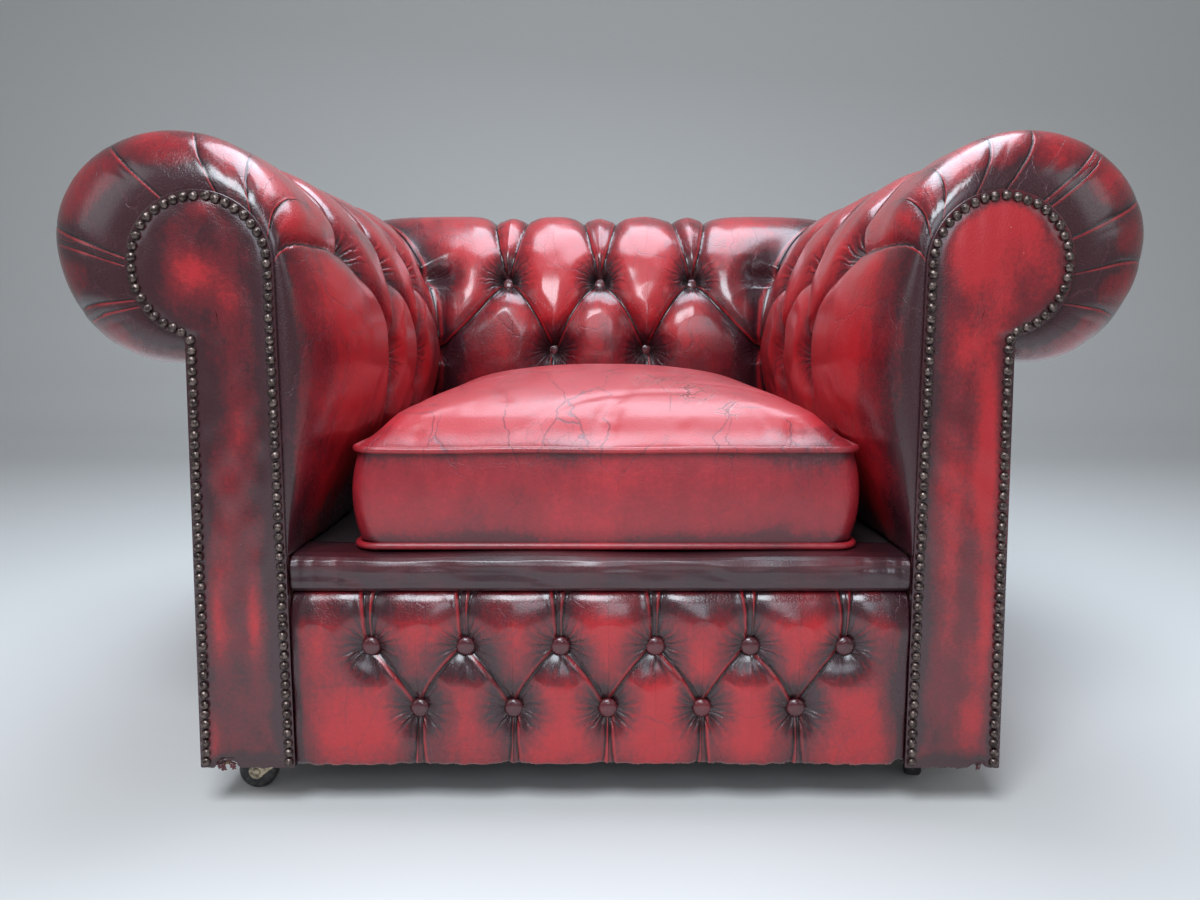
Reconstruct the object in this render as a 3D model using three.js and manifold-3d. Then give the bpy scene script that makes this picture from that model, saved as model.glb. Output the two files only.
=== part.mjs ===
// Club chair with scroll arms, deep-buttoned leather pads, a loose seat cushion and four castors.
// Millimetres, +Z up, the front faces -Y, +X is to the right of someone who looks at the front.
// Sizes are taken from the facing plane, the flat front of both arms, and the floor.
// At the end the whole chair moves forward, so that the origin is on the floor under its middle.
import * as THREE from 'three';
import Module from 'manifold-3d';
import { mergeVertices } from 'three/addons/utils/BufferGeometryUtils.js';

const wasm = await Module();
wasm.setup();

// Clearance between pieces that touch
const FIT = 0.3;

// Room inside the pads
const INNER_HALF = 250;
const INNER_DEPTH = 625;
const UNDERSIDE = 48.3;
const PANEL_FOOT = 47;
const SEAT_Z = 264;

// Section of the pads: reach is taken outwards from the fullest inner line
const CREST_Z = 450;
const ROLL_TOP = 681;
const ROLL_MID = 575;
const ROLL_UNDER = 452;
const TOP_REACH = 170;
const ROLL_REACH = 291;
const UNDER_REACH = 178;
const FOOT_TUCK = 56;
const FOOT_BEND = 1.4;
const ROLL_EASE = 60;
const PANEL_EASE = 150;
const CORNER_RUN = 15;

// Facing: the flat leather panel with a round head on the front of each arm
const FACING_SET = 58;
const FACING_WIDE = 87;
const FACING_INNER = INNER_HALF + FACING_SET;
const FACING_THICK = 5;
const HEAD_R = 70;
const HEAD_Z = 546;
const NECK_X = FACING_INNER + FACING_WIDE;
const NECK_R = 10;
const FOOT_FLARE = 8;
const HEAD_STEPS = 10;

// Buttoning of the arms and the back
const ARM_FIRST = 190;
const ARM_LAST_TO_CORNER = 99;
const BACK_LAST_TO_CORNER = 98;
const ARM_PITCH = (INNER_DEPTH - ARM_LAST_TO_CORNER - ARM_FIRST) / 2;
const BACK_PITCH = INNER_HALF - BACK_LAST_TO_CORNER;
const UPPER_ANGLE = 32.8;
const BUTTON_SINK = 20;
const BUTTON_SPREAD = 34;
const PLEAT_SINK = 15;
const PLEAT_SPREAD = 17;
const FLARE = 28;
const GATHER_SINK = 7;
const CREASE_SINK = 8;
const PAD_BUTTON_R = 11;
const BUTTON_SIDES = 5;
const COLUMNS_PER_PITCH = 6;
const ROWS_BETWEEN_BUTTONS = 3;
const CORNER_STEPS = 3;
const CORNER_POWER = 5;
const MITRE_GAP = 0.25;
const CORE_DROP = 40;

// Buttoned front border and the plain lip above it
const BORDER_TOP = 226;
const BORDER_FRONT = 3;
const BORDER_BACK = 21.7;
const BORDER_END_TO_BUTTON = 69;
const BORDER_PITCH = 2 * (FACING_INNER - BORDER_END_TO_BUTTON) / 5;
const BORDER_SHIFT = 8;
const BORDER_TURN = 5;
const BORDER_FOOT_ROUND = 6;
const BORDER_DEEPEST = 15;
const BORDER_COLUMNS_PER_PITCH = 4;
const BORDER_ROWS_BETWEEN_BUTTONS = 2;
const BORDER_UPPER_Z = 169;
const BORDER_LOWER_Z = 104;
const BORDER_BUTTON_R = 10;
const BORDER_PLEAT_SINK = 8;
const BORDER_PLEAT_SPREAD = 11;
const BORDER_WELL_SINK = 7;
const BORDER_WELL_SPREAD = 22;
const LIP_FRONT = 6;
const LIP_DEPTH = 68;
const LIP_WAVE = 2.5;
const LIP_WAVES = 6;

// Nails
const NAIL_INSET = 6;
const NAIL_PITCH = 10.1;
const NAIL_R = 4.7;
const NAIL_HEIGHT = 3.5;

// Cushion
const CUSHION_PRESS = 6;
const CUSHION_HALF = INNER_HALF + CUSHION_PRESS;
const CUSHION_SHIFT = 4;
const CUSHION_FRONT = 30;
const CUSHION_REAR_PRESS = 3;
const CUSHION_DEPTH = INNER_DEPTH + CUSHION_REAR_PRESS - CUSHION_FRONT;
const CUSHION_BOX = 102;
const CUSHION_CROWN = 66;
const CUSHION_CORNER = 46;
const CUSHION_CORNER_STEPS = 3;
const CUSHION_SWELL = 1;
const CUSHION_FOOT_TURN = 8;
const CUSHION_BOX_TURN = 11;
const CUSHION_SHOULDER = 13;
const CUSHION_SHOULDER_IN = 5;
const CUSHION_TOP_FLAT = 46;
const PIPING_R = 3.6;

// Hardwood frame, springs and covers below
const BOARD_INSET = 14;
const BOARD_THICK = 22;
const PANEL_THICK = 5;
const RAIL_FRONT = BORDER_BACK + FIT;
const RAIL_THICK = 25;
const SIDE_RAIL_THICK = 18;
const RAIL_TOP = 198;
const BACK_RAIL_THICK = 36;
const TOP_RAIL = 36;
const TACK_RAIL_HIGH = 28;
const TACK_RAIL_WIDE = 27;
const BACK_POST_WIDE = 45;
const BACK_POST_THICK = 28;
const BACK_POST_OUT = 70;
const BLOCK_HIGH = 72;
const BLOCK_DEPTH = 78;
const TACK_RAIL_SET = 4;
const DECK_THICK = 52;
const DUST_THICK = 1.2;
const SPRING_COUNT = 4;
const SPRING_SPACING = 136;
const SPRING_LAP = 12;
const SPRING_HALF = 24;
const SPRING_RUNGS = 6;
const SPRING_R = 2.2;
const SPRING_Z = 206;

// Castors
const WHEEL_R = 20;
const WHEEL_WIDE = 17;
const WHEEL_SIDES = 12;
const WHEEL_BEVEL = 3;
const HUB_PROUD = 1;
const AXLE_R = 2.6;
const RIVET_R = 4.4;
const RIVET_THICK = 1.4;
const CHEEK_THICK = 2.2;
const CHEEK_END_R = 8;
const CASTOR_OFFSET = 27;
const CROWN_R = 14;
const CROWN_FOOT = 37;
const PLATE_SIDE = 40;
const PLATE_THICK = 2.4;
const KINGPIN_R = 4.5;
const KINGPIN_HEAD_R = 6.5;
const KINGPIN_HEAD = 1.6;
const CASTOR_TO_NECK = 57;
const CASTOR_PAST_BACK = 90;
const CASTOR_X = NECK_X - CASTOR_TO_NECK;
const CASTOR_FRONT_Y = 57;
const CASTOR_BACK_Y = INNER_DEPTH + CASTOR_PAST_BACK;
const PIN_SIDES = 6;
const CROWN_SIDES = 8;

// Turn of each castor about its kingpin, in degrees: where its wheel trails, seen from above
const CASTOR_TURN = { front_left: 180, front_right: 78, back_left: 118, back_right: 62 };

// Materials
const finish = (name, color, roughness, metalness) => new THREE.MeshStandardMaterial(
  { name, color, roughness, metalness },
);
const oxblood = finish('oxblood leather', 0x8e1a1c, 0.42, 0);
const darkLeather = finish('dark rubbed leather', 0x4a1518, 0.42, 0);
const brightLeather = finish('bright cushion leather', 0xa82a2a, 0.42, 0);
const bronze = finish('bronze', 0x5a4632, 0.38, 1);
const beech = finish('beech', 0xb98d5e, 0.7, 0);
const steel = finish('steel', 0x8d8f92, 0.4, 1);
const plated = finish('plated', 0xa98f55, 0.45, 1);
const rubber = finish('rubber', 0x161616, 0.6, 0);
const cloth = finish('black cloth', 0x1d1b1c, 0.95, 0);

const chair = new THREE.Group();

function add(name, geometry, material, parent = chair) {
  const mesh = new THREE.Mesh(geometry, material);
  mesh.name = name;
  parent.add(mesh);
  return mesh;
}

// Closed solids from rings

const mix = (a, b, t) => a + (b - a) * t;
const clamp01 = (t) => Math.min(1, Math.max(0, t));
const radians = THREE.MathUtils.degToRad;

// Six times the volume inside a list of triangles, negative where they face inwards
function volumeSign(points, faces) {
  let total = 0;
  for (const [a, b, c] of faces) {
    total += points[a].dot(new THREE.Vector3().crossVectors(points[b], points[c]));
  }
  return total;
}

function geometryOf(points, faces) {
  const outwards = volumeSign(points, faces) > 0;
  const geometry = new THREE.BufferGeometry();
  const numbers = points.flatMap((p) => [p.x, p.y, p.z]);
  geometry.setAttribute('position', new THREE.Float32BufferAttribute(numbers, 3));
  geometry.setIndex(faces.flatMap(([a, b, c]) => (outwards ? [a, b, c] : [a, c, b])));
  geometry.computeVertexNormals();
  return geometry;
}

// Triangles of a flat outline, all wound as the outline is
function capFaces(outline) {
  const along = THREE.ShapeUtils.area(outline) > 0;
  return THREE.ShapeUtils.triangulateShape(outline.slice(), []).map(([a, b, c]) => {
    const turns = THREE.ShapeUtils.area([outline[a], outline[b], outline[c]]) > 0;
    return turns === along ? [a, b, c] : [a, c, b];
  });
}

// Skin over a row of rings of equal count. Each four-sided cell is split along its deeper diagonal,
// so that a pleat which runs across the cells stays a clean valley.
// ends holds the flat outlines of the first and last ring; without them the row closes on itself.
function loft(rings, { ends, sink } = {}) {
  const count = rings[0].length;
  const faces = [];
  const depth = (r, i) => (sink ? sink[r][i] ?? 0 : 0);
  const last = ends ? rings.length - 1 : rings.length;
  for (let r = 0; r < last; r += 1) {
    const next = (r + 1) % rings.length;
    for (let i = 0; i < count; i += 1) {
      const j = (i + 1) % count;
      const [a, b, c, d] = [r * count + i, r * count + j, next * count + j, next * count + i];
      const across = depth(r, i) + depth(next, j) >= depth(r, j) + depth(next, i);
      faces.push(...(across ? [[a, b, c], [a, c, d]] : [[a, b, d], [b, c, d]]));
    }
  }
  if (ends) {
    const start = (rings.length - 1) * count;
    capFaces(ends[0]).forEach(([a, b, c]) => faces.push([a, c, b]));
    capFaces(ends[1]).forEach(([a, b, c]) => faces.push([start + a, start + b, start + c]));
  }
  return geometryOf(rings.flat(), faces);
}

// Rod of a small section carried along a flat path. sectionAt(i) lists [offset, rise] pairs,
// place(u, v, rise) puts a point of the path's plane in space, and corners are mitred.
function sweep(path, sectionAt, place, closed) {
  const count = path.length;
  const rings = path.map((point, i) => {
    const before = path[closed ? (i + count - 1) % count : Math.max(0, i - 1)];
    const after = path[closed ? (i + 1) % count : Math.min(count - 1, i + 1)];
    const into = point.clone().sub(before).normalize();
    const out = after.clone().sub(point).normalize();
    if (into.lengthSq() === 0) into.copy(out);
    if (out.lengthSq() === 0) out.copy(into);
    const along = into.clone().add(out).normalize();
    const side = new THREE.Vector2(-along.y, along.x).divideScalar(Math.max(0.5, along.dot(into)));
    return sectionAt(i).map(([offset, rise]) => {
      const moved = point.clone().addScaledVector(side, offset);
      return place(moved.x, moved.y, rise);
    });
  });
  const end = (i) => sectionAt(i).map(([offset, rise]) => new THREE.Vector2(offset, rise));
  return loft(rings, closed ? {} : { ends: [end(0), end(count - 1)] });
}

// Plain block between two corners
function block(low, high) {
  const size = high.map((value, i) => value - low[i]);
  const geometry = new THREE.BoxGeometry(...size);
  return geometry.translate(...low.map((value, i) => value + size[i] / 2));
}

// Solid between a lower and an upper rectangle, each given as [x1, x2, y1, y2, z]
function taperedBlock(lower, upper) {
  const ring = ([x1, x2, y1, y2, z]) => [[x1, y1], [x2, y1], [x2, y2], [x1, y2]]
    .map(([x, y]) => new THREE.Vector3(x, y, z));
  const flat = (points) => points.map((p) => new THREE.Vector2(p.x, p.y));
  const rings = [ring(lower), ring(upper)];
  return loft(rings, { ends: rings.map(flat) });
}

// Booleans

function toSolid(geometry) {
  const bare = geometry.clone();
  bare.deleteAttribute('normal');
  bare.deleteAttribute('uv');
  const merged = mergeVertices(bare, 1e-4);
  const vertProperties = new Float32Array(merged.attributes.position.array);
  const triVerts = new Uint32Array(merged.index.array);
  return new wasm.Manifold(new wasm.Mesh({ numProp: 3, vertProperties, triVerts }));
}

function fromSolid(solid) {
  const result = solid.getMesh();
  const geometry = new THREE.BufferGeometry();
  geometry.setAttribute('position', new THREE.BufferAttribute(result.vertProperties, 3));
  geometry.setIndex(new THREE.BufferAttribute(result.triVerts, 1));
  geometry.computeVertexNormals();
  return geometry;
}

// Outlines of the facing and of what follows its edge

// The edge moved inwards by inset: a straight inner line, a round head, a hollow neck and a
// straight outer line that flares a little to the foot. Radii change with the inset, centres stay.
function facingFrame(inset) {
  const headX = FACING_INNER + HEAD_R;
  const hollowX = NECK_X + NECK_R;
  const reach = HEAD_R + NECK_R;
  const hollowZ = HEAD_Z - Math.sqrt(reach ** 2 - (hollowX - headX) ** 2);
  const meet = Math.atan2(hollowZ - HEAD_Z, hollowX - headX);
  const inner = FACING_INNER + inset;
  return { headX, hollowX, hollowZ, meet, inner, r: HEAD_R - inset, neckR: NECK_R + inset };
}

const NECK_Z = facingFrame(0).hollowZ;
const EDGE_FLARE = FOOT_FLARE / (NECK_Z - PANEL_FOOT);

function headPoint(inset, angle) {
  const f = facingFrame(inset);
  return new THREE.Vector2(f.headX + f.r * Math.cos(angle), HEAD_Z + f.r * Math.sin(angle));
}

function neckPoint(inset, t) {
  const f = facingFrame(inset);
  const angle = mix(f.meet + Math.PI, Math.PI, t);
  return new THREE.Vector2(f.hollowX + f.neckR * Math.cos(angle), f.hollowZ + f.neckR * Math.sin(angle));
}

const outerEdge = (inset, z) => NECK_X - inset + EDGE_FLARE * (NECK_Z - z);

function facingOutline(inset, foot) {
  const { inner, meet } = facingFrame(inset);
  const points = [new THREE.Vector2(inner, foot)];
  for (let i = 0; i <= HEAD_STEPS; i += 1) {
    points.push(headPoint(inset, mix(Math.PI, meet, i / HEAD_STEPS)));
  }
  points.push(neckPoint(inset, 0.5), neckPoint(inset, 1), new THREE.Vector2(outerEdge(inset, foot), foot));
  return points;
}

// Flat panel of an outline in the XZ plane, from y1 to y2, on one side of the chair
function boardOf(outline, side, y1, y2) {
  const ring = (y) => outline.map((p) => new THREE.Vector3(side * p.x, y, p.y));
  return loft([ring(y1), ring(y2)], { ends: [outline, outline] });
}

// Section of the pads, in five stretches: foot, inner face, top, underside and tucked end

const PAD_FOOT = SEAT_Z + FIT;
const END_REACH = NECK_X - INNER_HALF;

function sectionPoint(stretch, t) {
  const angle = t * Math.PI / 2;
  const s = Math.sin(angle);
  const c = Math.cos(angle);
  if (stretch === 0) return new THREE.Vector2(FOOT_TUCK * (1 - t) ** FOOT_BEND, mix(PAD_FOOT, CREST_Z, t));
  if (stretch === 1) return new THREE.Vector2(TOP_REACH * (1 - c), mix(CREST_Z, ROLL_TOP, s));
  if (stretch === 2) return new THREE.Vector2(mix(TOP_REACH, ROLL_REACH, s), mix(ROLL_MID, ROLL_TOP, c));
  if (stretch === 3) return new THREE.Vector2(mix(UNDER_REACH, ROLL_REACH, c), mix(ROLL_MID, ROLL_UNDER, s));
  return new THREE.Vector2(mix(UNDER_REACH, END_REACH, s), mix(ROLL_UNDER, NECK_Z, 1 - c));
}

const UPPER_T = UPPER_ANGLE / 90;

// The point of the facing's edge to which the leather of the same stretch is drawn
function edgePoint(stretch, t) {
  const { inner, meet } = facingFrame(0);
  let point;
  if (stretch === 0) point = new THREE.Vector2(inner, mix(PAD_FOOT, CREST_Z, t));
  else if (stretch === 1 && t < UPPER_T) point = new THREE.Vector2(inner, mix(CREST_Z, HEAD_Z, t / UPPER_T));
  else if (stretch === 1) point = headPoint(0, mix(Math.PI, Math.PI / 2, (t - UPPER_T) / (1 - UPPER_T)));
  else if (stretch === 2) point = headPoint(0, mix(Math.PI / 2, 0, t));
  else if (stretch === 3) point = headPoint(0, mix(0, meet, t));
  else point = neckPoint(0, t);
  return point.sub(new THREE.Vector2(INNER_HALF, 0));
}

// Rows up and round the section. v is the length of leather from the fullest inner line.
function padRows(top, outer, under) {
  const rows = [0, 0.5].map((t) => [0, t]);
  for (let i = 0; i < ROWS_BETWEEN_BUTTONS; i += 1) rows.push([1, UPPER_T * i / ROWS_BETWEEN_BUTTONS]);
  for (let i = 0; i < top; i += 1) rows.push([1, mix(UPPER_T, 1, i / top)]);
  for (let i = 0; i < outer; i += 1) rows.push([2, i / outer]);
  for (let i = 0; i < under; i += 1) rows.push([3, i / under]);
  rows.push([4, 0], [4, 1]);
  return rows.map(([stretch, t]) => ({ stretch, t, v: leatherLength(stretch, t) }));
}

function leatherLength(stretch, t) {
  const steps = 16;
  const lengthOf = (part, from, to) => {
    let total = 0;
    for (let i = 0; i < steps; i += 1) {
      const a = sectionPoint(part, mix(from, to, i / steps));
      total += a.distanceTo(sectionPoint(part, mix(from, to, (i + 1) / steps)));
    }
    return total;
  };
  if (stretch === 0) return -lengthOf(0, t, 1);
  let total = lengthOf(stretch, 0, t);
  for (let part = 1; part < stretch; part += 1) total += lengthOf(part, 0, 1);
  return total;
}

const LOWER_V = 0;
const UPPER_V = leatherLength(1, UPPER_T);
const TOP_V = leatherLength(1, 1);
const END_V = leatherLength(4, 1);
const FOOT_V = leatherLength(0, 0);

// How far the leather is drawn in at (s, v): a round well at each button, a valley along each pleat
function sinkAt(s, v, net, well, wellSpread, fold, foldSpread) {
  let deepest = 0;
  for (const [bs, bv] of net.buttons) {
    deepest = Math.max(deepest, Math.exp(-((s - bs) ** 2 + (v - bv) ** 2) / wellSpread ** 2));
  }
  let valley = 0;
  for (const [s1, v1, s2, v2] of net.pleats) {
    const length = (s2 - s1) ** 2 + (v2 - v1) ** 2;
    const t = clamp01(((s - s1) * (s2 - s1) + (v - v1) * (v2 - v1)) / length);
    const away = Math.hypot(s - mix(s1, s2, t), v - mix(v1, v2, t));
    valley = Math.max(valley, Math.exp(-away / foldSpread));
  }
  return well * deepest + fold * valley;
}

// Pleats that leave an upper button: two flare up and run over the roll to its underside
const flaredPleats = (s) => [-1, 1].flatMap((side) => [
  [s, UPPER_V, s + side * FLARE, TOP_V],
  [s + side * FLARE, TOP_V, s + side * FLARE, END_V],
]);

// Arm: s runs back from the facing plane, and the mitre with the back is a crease
const MITRE_S = INNER_DEPTH + CORNER_RUN;
const armUpper = [0, 1, 2].map((i) => ARM_FIRST + i * ARM_PITCH);
const armLower = [0.5, 1.5].map((i) => ARM_FIRST + i * ARM_PITCH);
const armNet = {
  buttons: [...armUpper.map((s) => [s, UPPER_V]), ...armLower.map((s) => [s, LOWER_V]),
    [MITRE_S, UPPER_V], [MITRE_S, LOWER_V]],
  pleats: [
    ...armUpper.flatMap(flaredPleats),
    ...armLower.flatMap((s) => [
      [s, LOWER_V, s - ARM_PITCH / 2, UPPER_V],
      [s, LOWER_V, s + ARM_PITCH / 2, UPPER_V],
      [s, LOWER_V, s, FOOT_V],
    ]),
    [armUpper[2], UPPER_V, MITRE_S, LOWER_V],
    [FACING_THICK, UPPER_V, ARM_FIRST, UPPER_V],
    [MITRE_S, FOOT_V, MITRE_S, END_V],
  ],
};

// Back: s runs across from the middle, and both its mitres are creases
const MITRE_X = INNER_HALF + CORNER_RUN;
const backUpper = [-1, 0, 1].map((i) => i * BACK_PITCH);
const backLower = [-0.5, 0.5].map((i) => i * BACK_PITCH);
const backNet = {
  buttons: [...backUpper.map((s) => [s, UPPER_V]), ...backLower.map((s) => [s, LOWER_V]),
    ...[-MITRE_X, MITRE_X].flatMap((s) => [[s, UPPER_V], [s, LOWER_V]])],
  pleats: [
    ...backUpper.flatMap(flaredPleats),
    ...backLower.flatMap((s) => [
      [s, LOWER_V, s - BACK_PITCH / 2, UPPER_V],
      [s, LOWER_V, s + BACK_PITCH / 2, UPPER_V],
      [s, LOWER_V, s, FOOT_V],
    ]),
    ...[-1, 1].flatMap((side) => [
      [side * BACK_PITCH, UPPER_V, side * MITRE_X, LOWER_V],
      [side * MITRE_X, FOOT_V, side * MITRE_X, END_V],
    ]),
  ],
};

// Direction across the section, pointing into the pad
function inward(stretch, t) {
  const step = 1e-3;
  const a = sectionPoint(stretch, Math.max(0, t - step));
  const b = sectionPoint(stretch, Math.min(1, t + step));
  return new THREE.Vector2(b.y - a.y, a.x - b.x).normalize();
}

// Where a row meets a column, as reach and height, with its sink
function padPoint(row, s, net, front, gathered) {
  const base = sectionPoint(row.stretch, row.t);
  const sunk = sinkAt(s, row.v, net, BUTTON_SINK, BUTTON_SPREAD, PLEAT_SINK, PLEAT_SPREAD);
  let open = 1;
  let gather = 0;
  if (front) {
    const face = row.stretch === 0 || (row.stretch === 1 && row.t < UPPER_T);
    const ease = face ? PANEL_EASE : ROLL_EASE;
    const t = clamp01((s - FACING_THICK - FIT) / ease);
    open = Math.sqrt(1 - (1 - t) ** 2);
    gather = gathered && !face ? GATHER_SINK * Math.sin(Math.PI * open) : 0;
    base.lerpVectors(edgePoint(row.stretch, row.t), base, open);
  }
  const depth = sunk * open + gather;
  return { point: base.addScaledVector(inward(row.stretch, row.t), depth), depth };
}

// The hollow core under the pads has the outline of the scroll boards
function coreOutline(foot) {
  const inset = BOARD_INSET - FIT;
  const { inner, meet } = facingFrame(inset);
  const points = [new THREE.Vector2(inner, foot)];
  for (let i = 0; i <= HEAD_STEPS; i += 1) points.push(headPoint(inset, mix(Math.PI, meet, i / HEAD_STEPS)));
  points.push(neckPoint(inset, 0.5), neckPoint(inset, 1), new THREE.Vector2(neckPoint(inset, 1).x, foot));
  return points.map((p) => new THREE.Vector2(p.x - INNER_HALF, p.y));
}

// A point of the section turned about the inner corner: angle 0 faces along the arm's side,
// a quarter turn faces along the back. The corner is squarer than a circle.
function roundCorner(reach, angle) {
  const c = Math.cos(angle);
  const s = Math.sin(angle);
  const k = (c ** CORNER_POWER + s ** CORNER_POWER) ** (-1 / CORNER_POWER);
  return [reach * k * c, reach * k * s];
}

// Columns of an arm: ease at the facing, button spacing, then the corner up to the mitre
function armColumns() {
  const start = FACING_THICK + FIT;
  const columns = [0, 0.06, 0.24, 0.58].map((t) => ({ s: start + t * ROLL_EASE, angle: 0 }));
  const step = ARM_PITCH / COLUMNS_PER_PITCH;
  for (let i = -5; ARM_FIRST + i * step < INNER_DEPTH - step / 3; i += 1) {
    const s = ARM_FIRST + i * step;
    if (s > start + ROLL_EASE * 0.8) columns.push({ s, angle: 0 });
  }
  return columns.concat(cornerColumns(INNER_DEPTH));
}

function cornerColumns(from) {
  const columns = [];
  for (let i = 0; i <= CORNER_STEPS; i += 1) {
    const t = i / CORNER_STEPS;
    columns.push({ s: from + CORNER_RUN * t, angle: t * Math.PI / 4, past: true });
  }
  return columns;
}

// Solid between the leather and a line inside the core, from which the core is then cut
function padSolid(columns, rows, net, place, front) {
  const insideReach = (facingFrame(BOARD_INSET).inner + neckPoint(BOARD_INSET, 1).x) / 2 - INNER_HALF;
  const rings = [];
  const sinks = [];
  const flats = [];
  for (const column of columns) {
    const flat = [];
    const sink = [];
    rows.forEach((row, i) => {
      const { point, depth } = padPoint(row, Math.abs(column.s), net, front, i % 2 === 1);
      if (column.past) point.x = Math.max(point.x, CREASE_SINK);
      flat.push(point);
      sink.push(depth);
    });
    flat.push(new THREE.Vector2(insideReach, NECK_Z), new THREE.Vector2(insideReach, PAD_FOOT));
    sink.push(0, 0);
    flats.push(flat);
    sinks.push(sink);
    rings.push(flat.map((p) => place(column, p.x, p.y)));
  }
  return toSolid(loft(rings, { ends: [flats[0], flats.at(-1)], sink: sinks }));
}

function coreSolid(columns, place) {
  const outline = coreOutline(PAD_FOOT - CORE_DROP);
  const rings = columns.map((column) => outline.map((p) => place(column, p.x, p.y)));
  return toSolid(loft(rings, { ends: [outline, outline] }));
}

// Low dome of a few sides, like a covered button, with its back sunk in the leather
function buttonSolid(radius, centre, facing) {
  const profile = [[0, -0.45], [1, -0.4], [0.7, 0.32], [0, 0.5]];
  const dome = new THREE.LatheGeometry(profile.map(([x, y]) => new THREE.Vector2(x * radius, y * radius)), BUTTON_SIDES);
  dome.applyQuaternion(new THREE.Quaternion().setFromUnitVectors(new THREE.Vector3(0, 1, 0), facing));
  return toSolid(dome.translate(centre.x, centre.y, centre.z));
}

// Buttons at the bottom of their wells; the row sets the height, the column the place along the pad
function withButtons(pad, places, net, place, front) {
  return places.reduce((solid, [s, upper]) => {
    const row = { stretch: 1, t: upper ? UPPER_T : 0, v: upper ? UPPER_V : LOWER_V };
    const { point } = padPoint(row, Math.abs(s), net, front, false);
    const into = inward(row.stretch, row.t);
    const centre = place({ s, angle: 0 }, point.x, point.y);
    const outside = place({ s, angle: 0 }, point.x - into.x, point.y - into.y);
    return solid.add(buttonSolid(PAD_BUTTON_R, centre, outside.sub(centre).normalize()));
  }, pad);
}

// Arm pads, facings, scroll boards, nails and outer panels, on both sides

const armRows = padRows(4, 3, 2);
const backRows = padRows(4, 2, 2);
const BOARD_BACK = FACING_THICK + FIT + BOARD_THICK;

for (const [label, side] of [['left', -1], ['right', 1]]) {
  const place = (column, reach, z) => {
    const [out, back] = column.past ? roundCorner(reach, column.angle) : [reach, 0];
    const y = column.past ? INNER_DEPTH - MITRE_GAP + back : column.s;
    return new THREE.Vector3(side * (INNER_HALF + out), y, z);
  };
  const columns = armColumns();
  const coreColumns = [{ s: -CORE_DROP, angle: 0 }, ...cornerColumns(INNER_DEPTH)];
  coreColumns.push({ s: 0, angle: radians(60), past: true });
  const pad = padSolid(columns, armRows, armNet, place, true).subtract(coreSolid(coreColumns, place));
  const places = [...armUpper.map((s) => [s, true]), ...armLower.map((s) => [s, false])];
  add(`arm_pad_${label}`, fromSolid(withButtons(pad, places, armNet, place, true)), oxblood);
  add(`facing_${label}`, boardOf(facingOutline(0, PANEL_FOOT), side, 0, FACING_THICK), oxblood);
  const board = facingOutline(BOARD_INSET + FIT, UNDERSIDE);
  add(`arm_post_${label}`, boardOf(board, side, FACING_THICK + FIT, BOARD_BACK), beech);
  add(`nail_trim_${label}`, nailStrip(side), bronze);
}

// Row of touching nail heads along the facing's edge: full at each nail, narrow between two
function nailStrip(side) {
  const line = facingOutline(NAIL_INSET, PANEL_FOOT + NAIL_INSET);
  const curve = new THREE.CurvePath();
  for (let i = 0; i + 1 < line.length; i += 1) curve.add(new THREE.LineCurve(line[i], line[i + 1]));
  const nails = Math.round(curve.getLength() / NAIL_PITCH);
  const path = Array.from({ length: 2 * nails + 1 }, (_, i) => curve.getPointAt(i / (2 * nails)));
  const section = (i) => {
    const k = i % 2 === 0 ? 1 : 0.3;
    return [[-NAIL_R * k, 0], [NAIL_R * k, 0], [0, NAIL_HEIGHT * k]];
  };
  return sweep(path, section, (x, z, rise) => new THREE.Vector3(side * x, -FIT - rise, z), false);
}

// Back pad

{
  const place = (column, reach, z) => {
    if (!column.past) return new THREE.Vector3(column.s, INNER_DEPTH + reach, z);
    const [out, back] = roundCorner(reach, Math.PI / 2 - column.angle);
    return new THREE.Vector3(Math.sign(column.s) * (INNER_HALF - MITRE_GAP + out), INNER_DEPTH + back, z);
  };
  const step = BACK_PITCH / COLUMNS_PER_PITCH;
  const half = Math.floor((INNER_HALF - step / 3) / step);
  const straight = [];
  for (let i = -half; i <= half; i += 1) straight.push({ s: i * step, angle: 0 });
  const corner = cornerColumns(INNER_HALF);
  const mirrored = corner.map((column) => ({ ...column, s: -column.s })).reverse();
  const columns = [...mirrored, ...straight, ...corner];
  const beyond = [{ s: 1, angle: radians(60), past: true }];
  const coreColumns = [{ s: -1, angle: radians(60), past: true }, ...mirrored, ...corner, ...beyond];
  const pad = padSolid(columns, backRows, backNet, place, false).subtract(coreSolid(coreColumns, place));
  const places = [...backUpper.map((s) => [s, true]), ...backLower.map((s) => [s, false])];
  add('back_pad', fromSolid(withButtons(pad, places, backNet, place, false)), oxblood);
}

// Outer panels: flat leather on the sides and the rear, flared to the foot as the facings are

const PANEL_TOP = NECK_Z - FIT * 5;
const frontOfPanels = FACING_THICK + FIT;
const backEdge = (z) => INNER_DEPTH + outerEdge(0, z) - INNER_HALF;

for (const [label, side] of [['left', -1], ['right', 1]]) {
  const level = (z) => {
    const xs = [side * (outerEdge(0, z) - PANEL_THICK), side * outerEdge(0, z)];
    return [Math.min(...xs), Math.max(...xs), frontOfPanels, backEdge(z), z];
  };
  add(`outer_arm_${label}`, taperedBlock(level(PANEL_FOOT), level(PANEL_TOP)), oxblood);
}
const backLevel = (z) => {
  const half = outerEdge(0, z) - PANEL_THICK - FIT;
  return [-half, half, backEdge(z) - PANEL_THICK, backEdge(z), z];
};
add('outer_back', taperedBlock(backLevel(PANEL_FOOT), backLevel(PANEL_TOP)), oxblood);

// Front border: a buttoned panel whose pleats run from button to button and to both its edges

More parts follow.
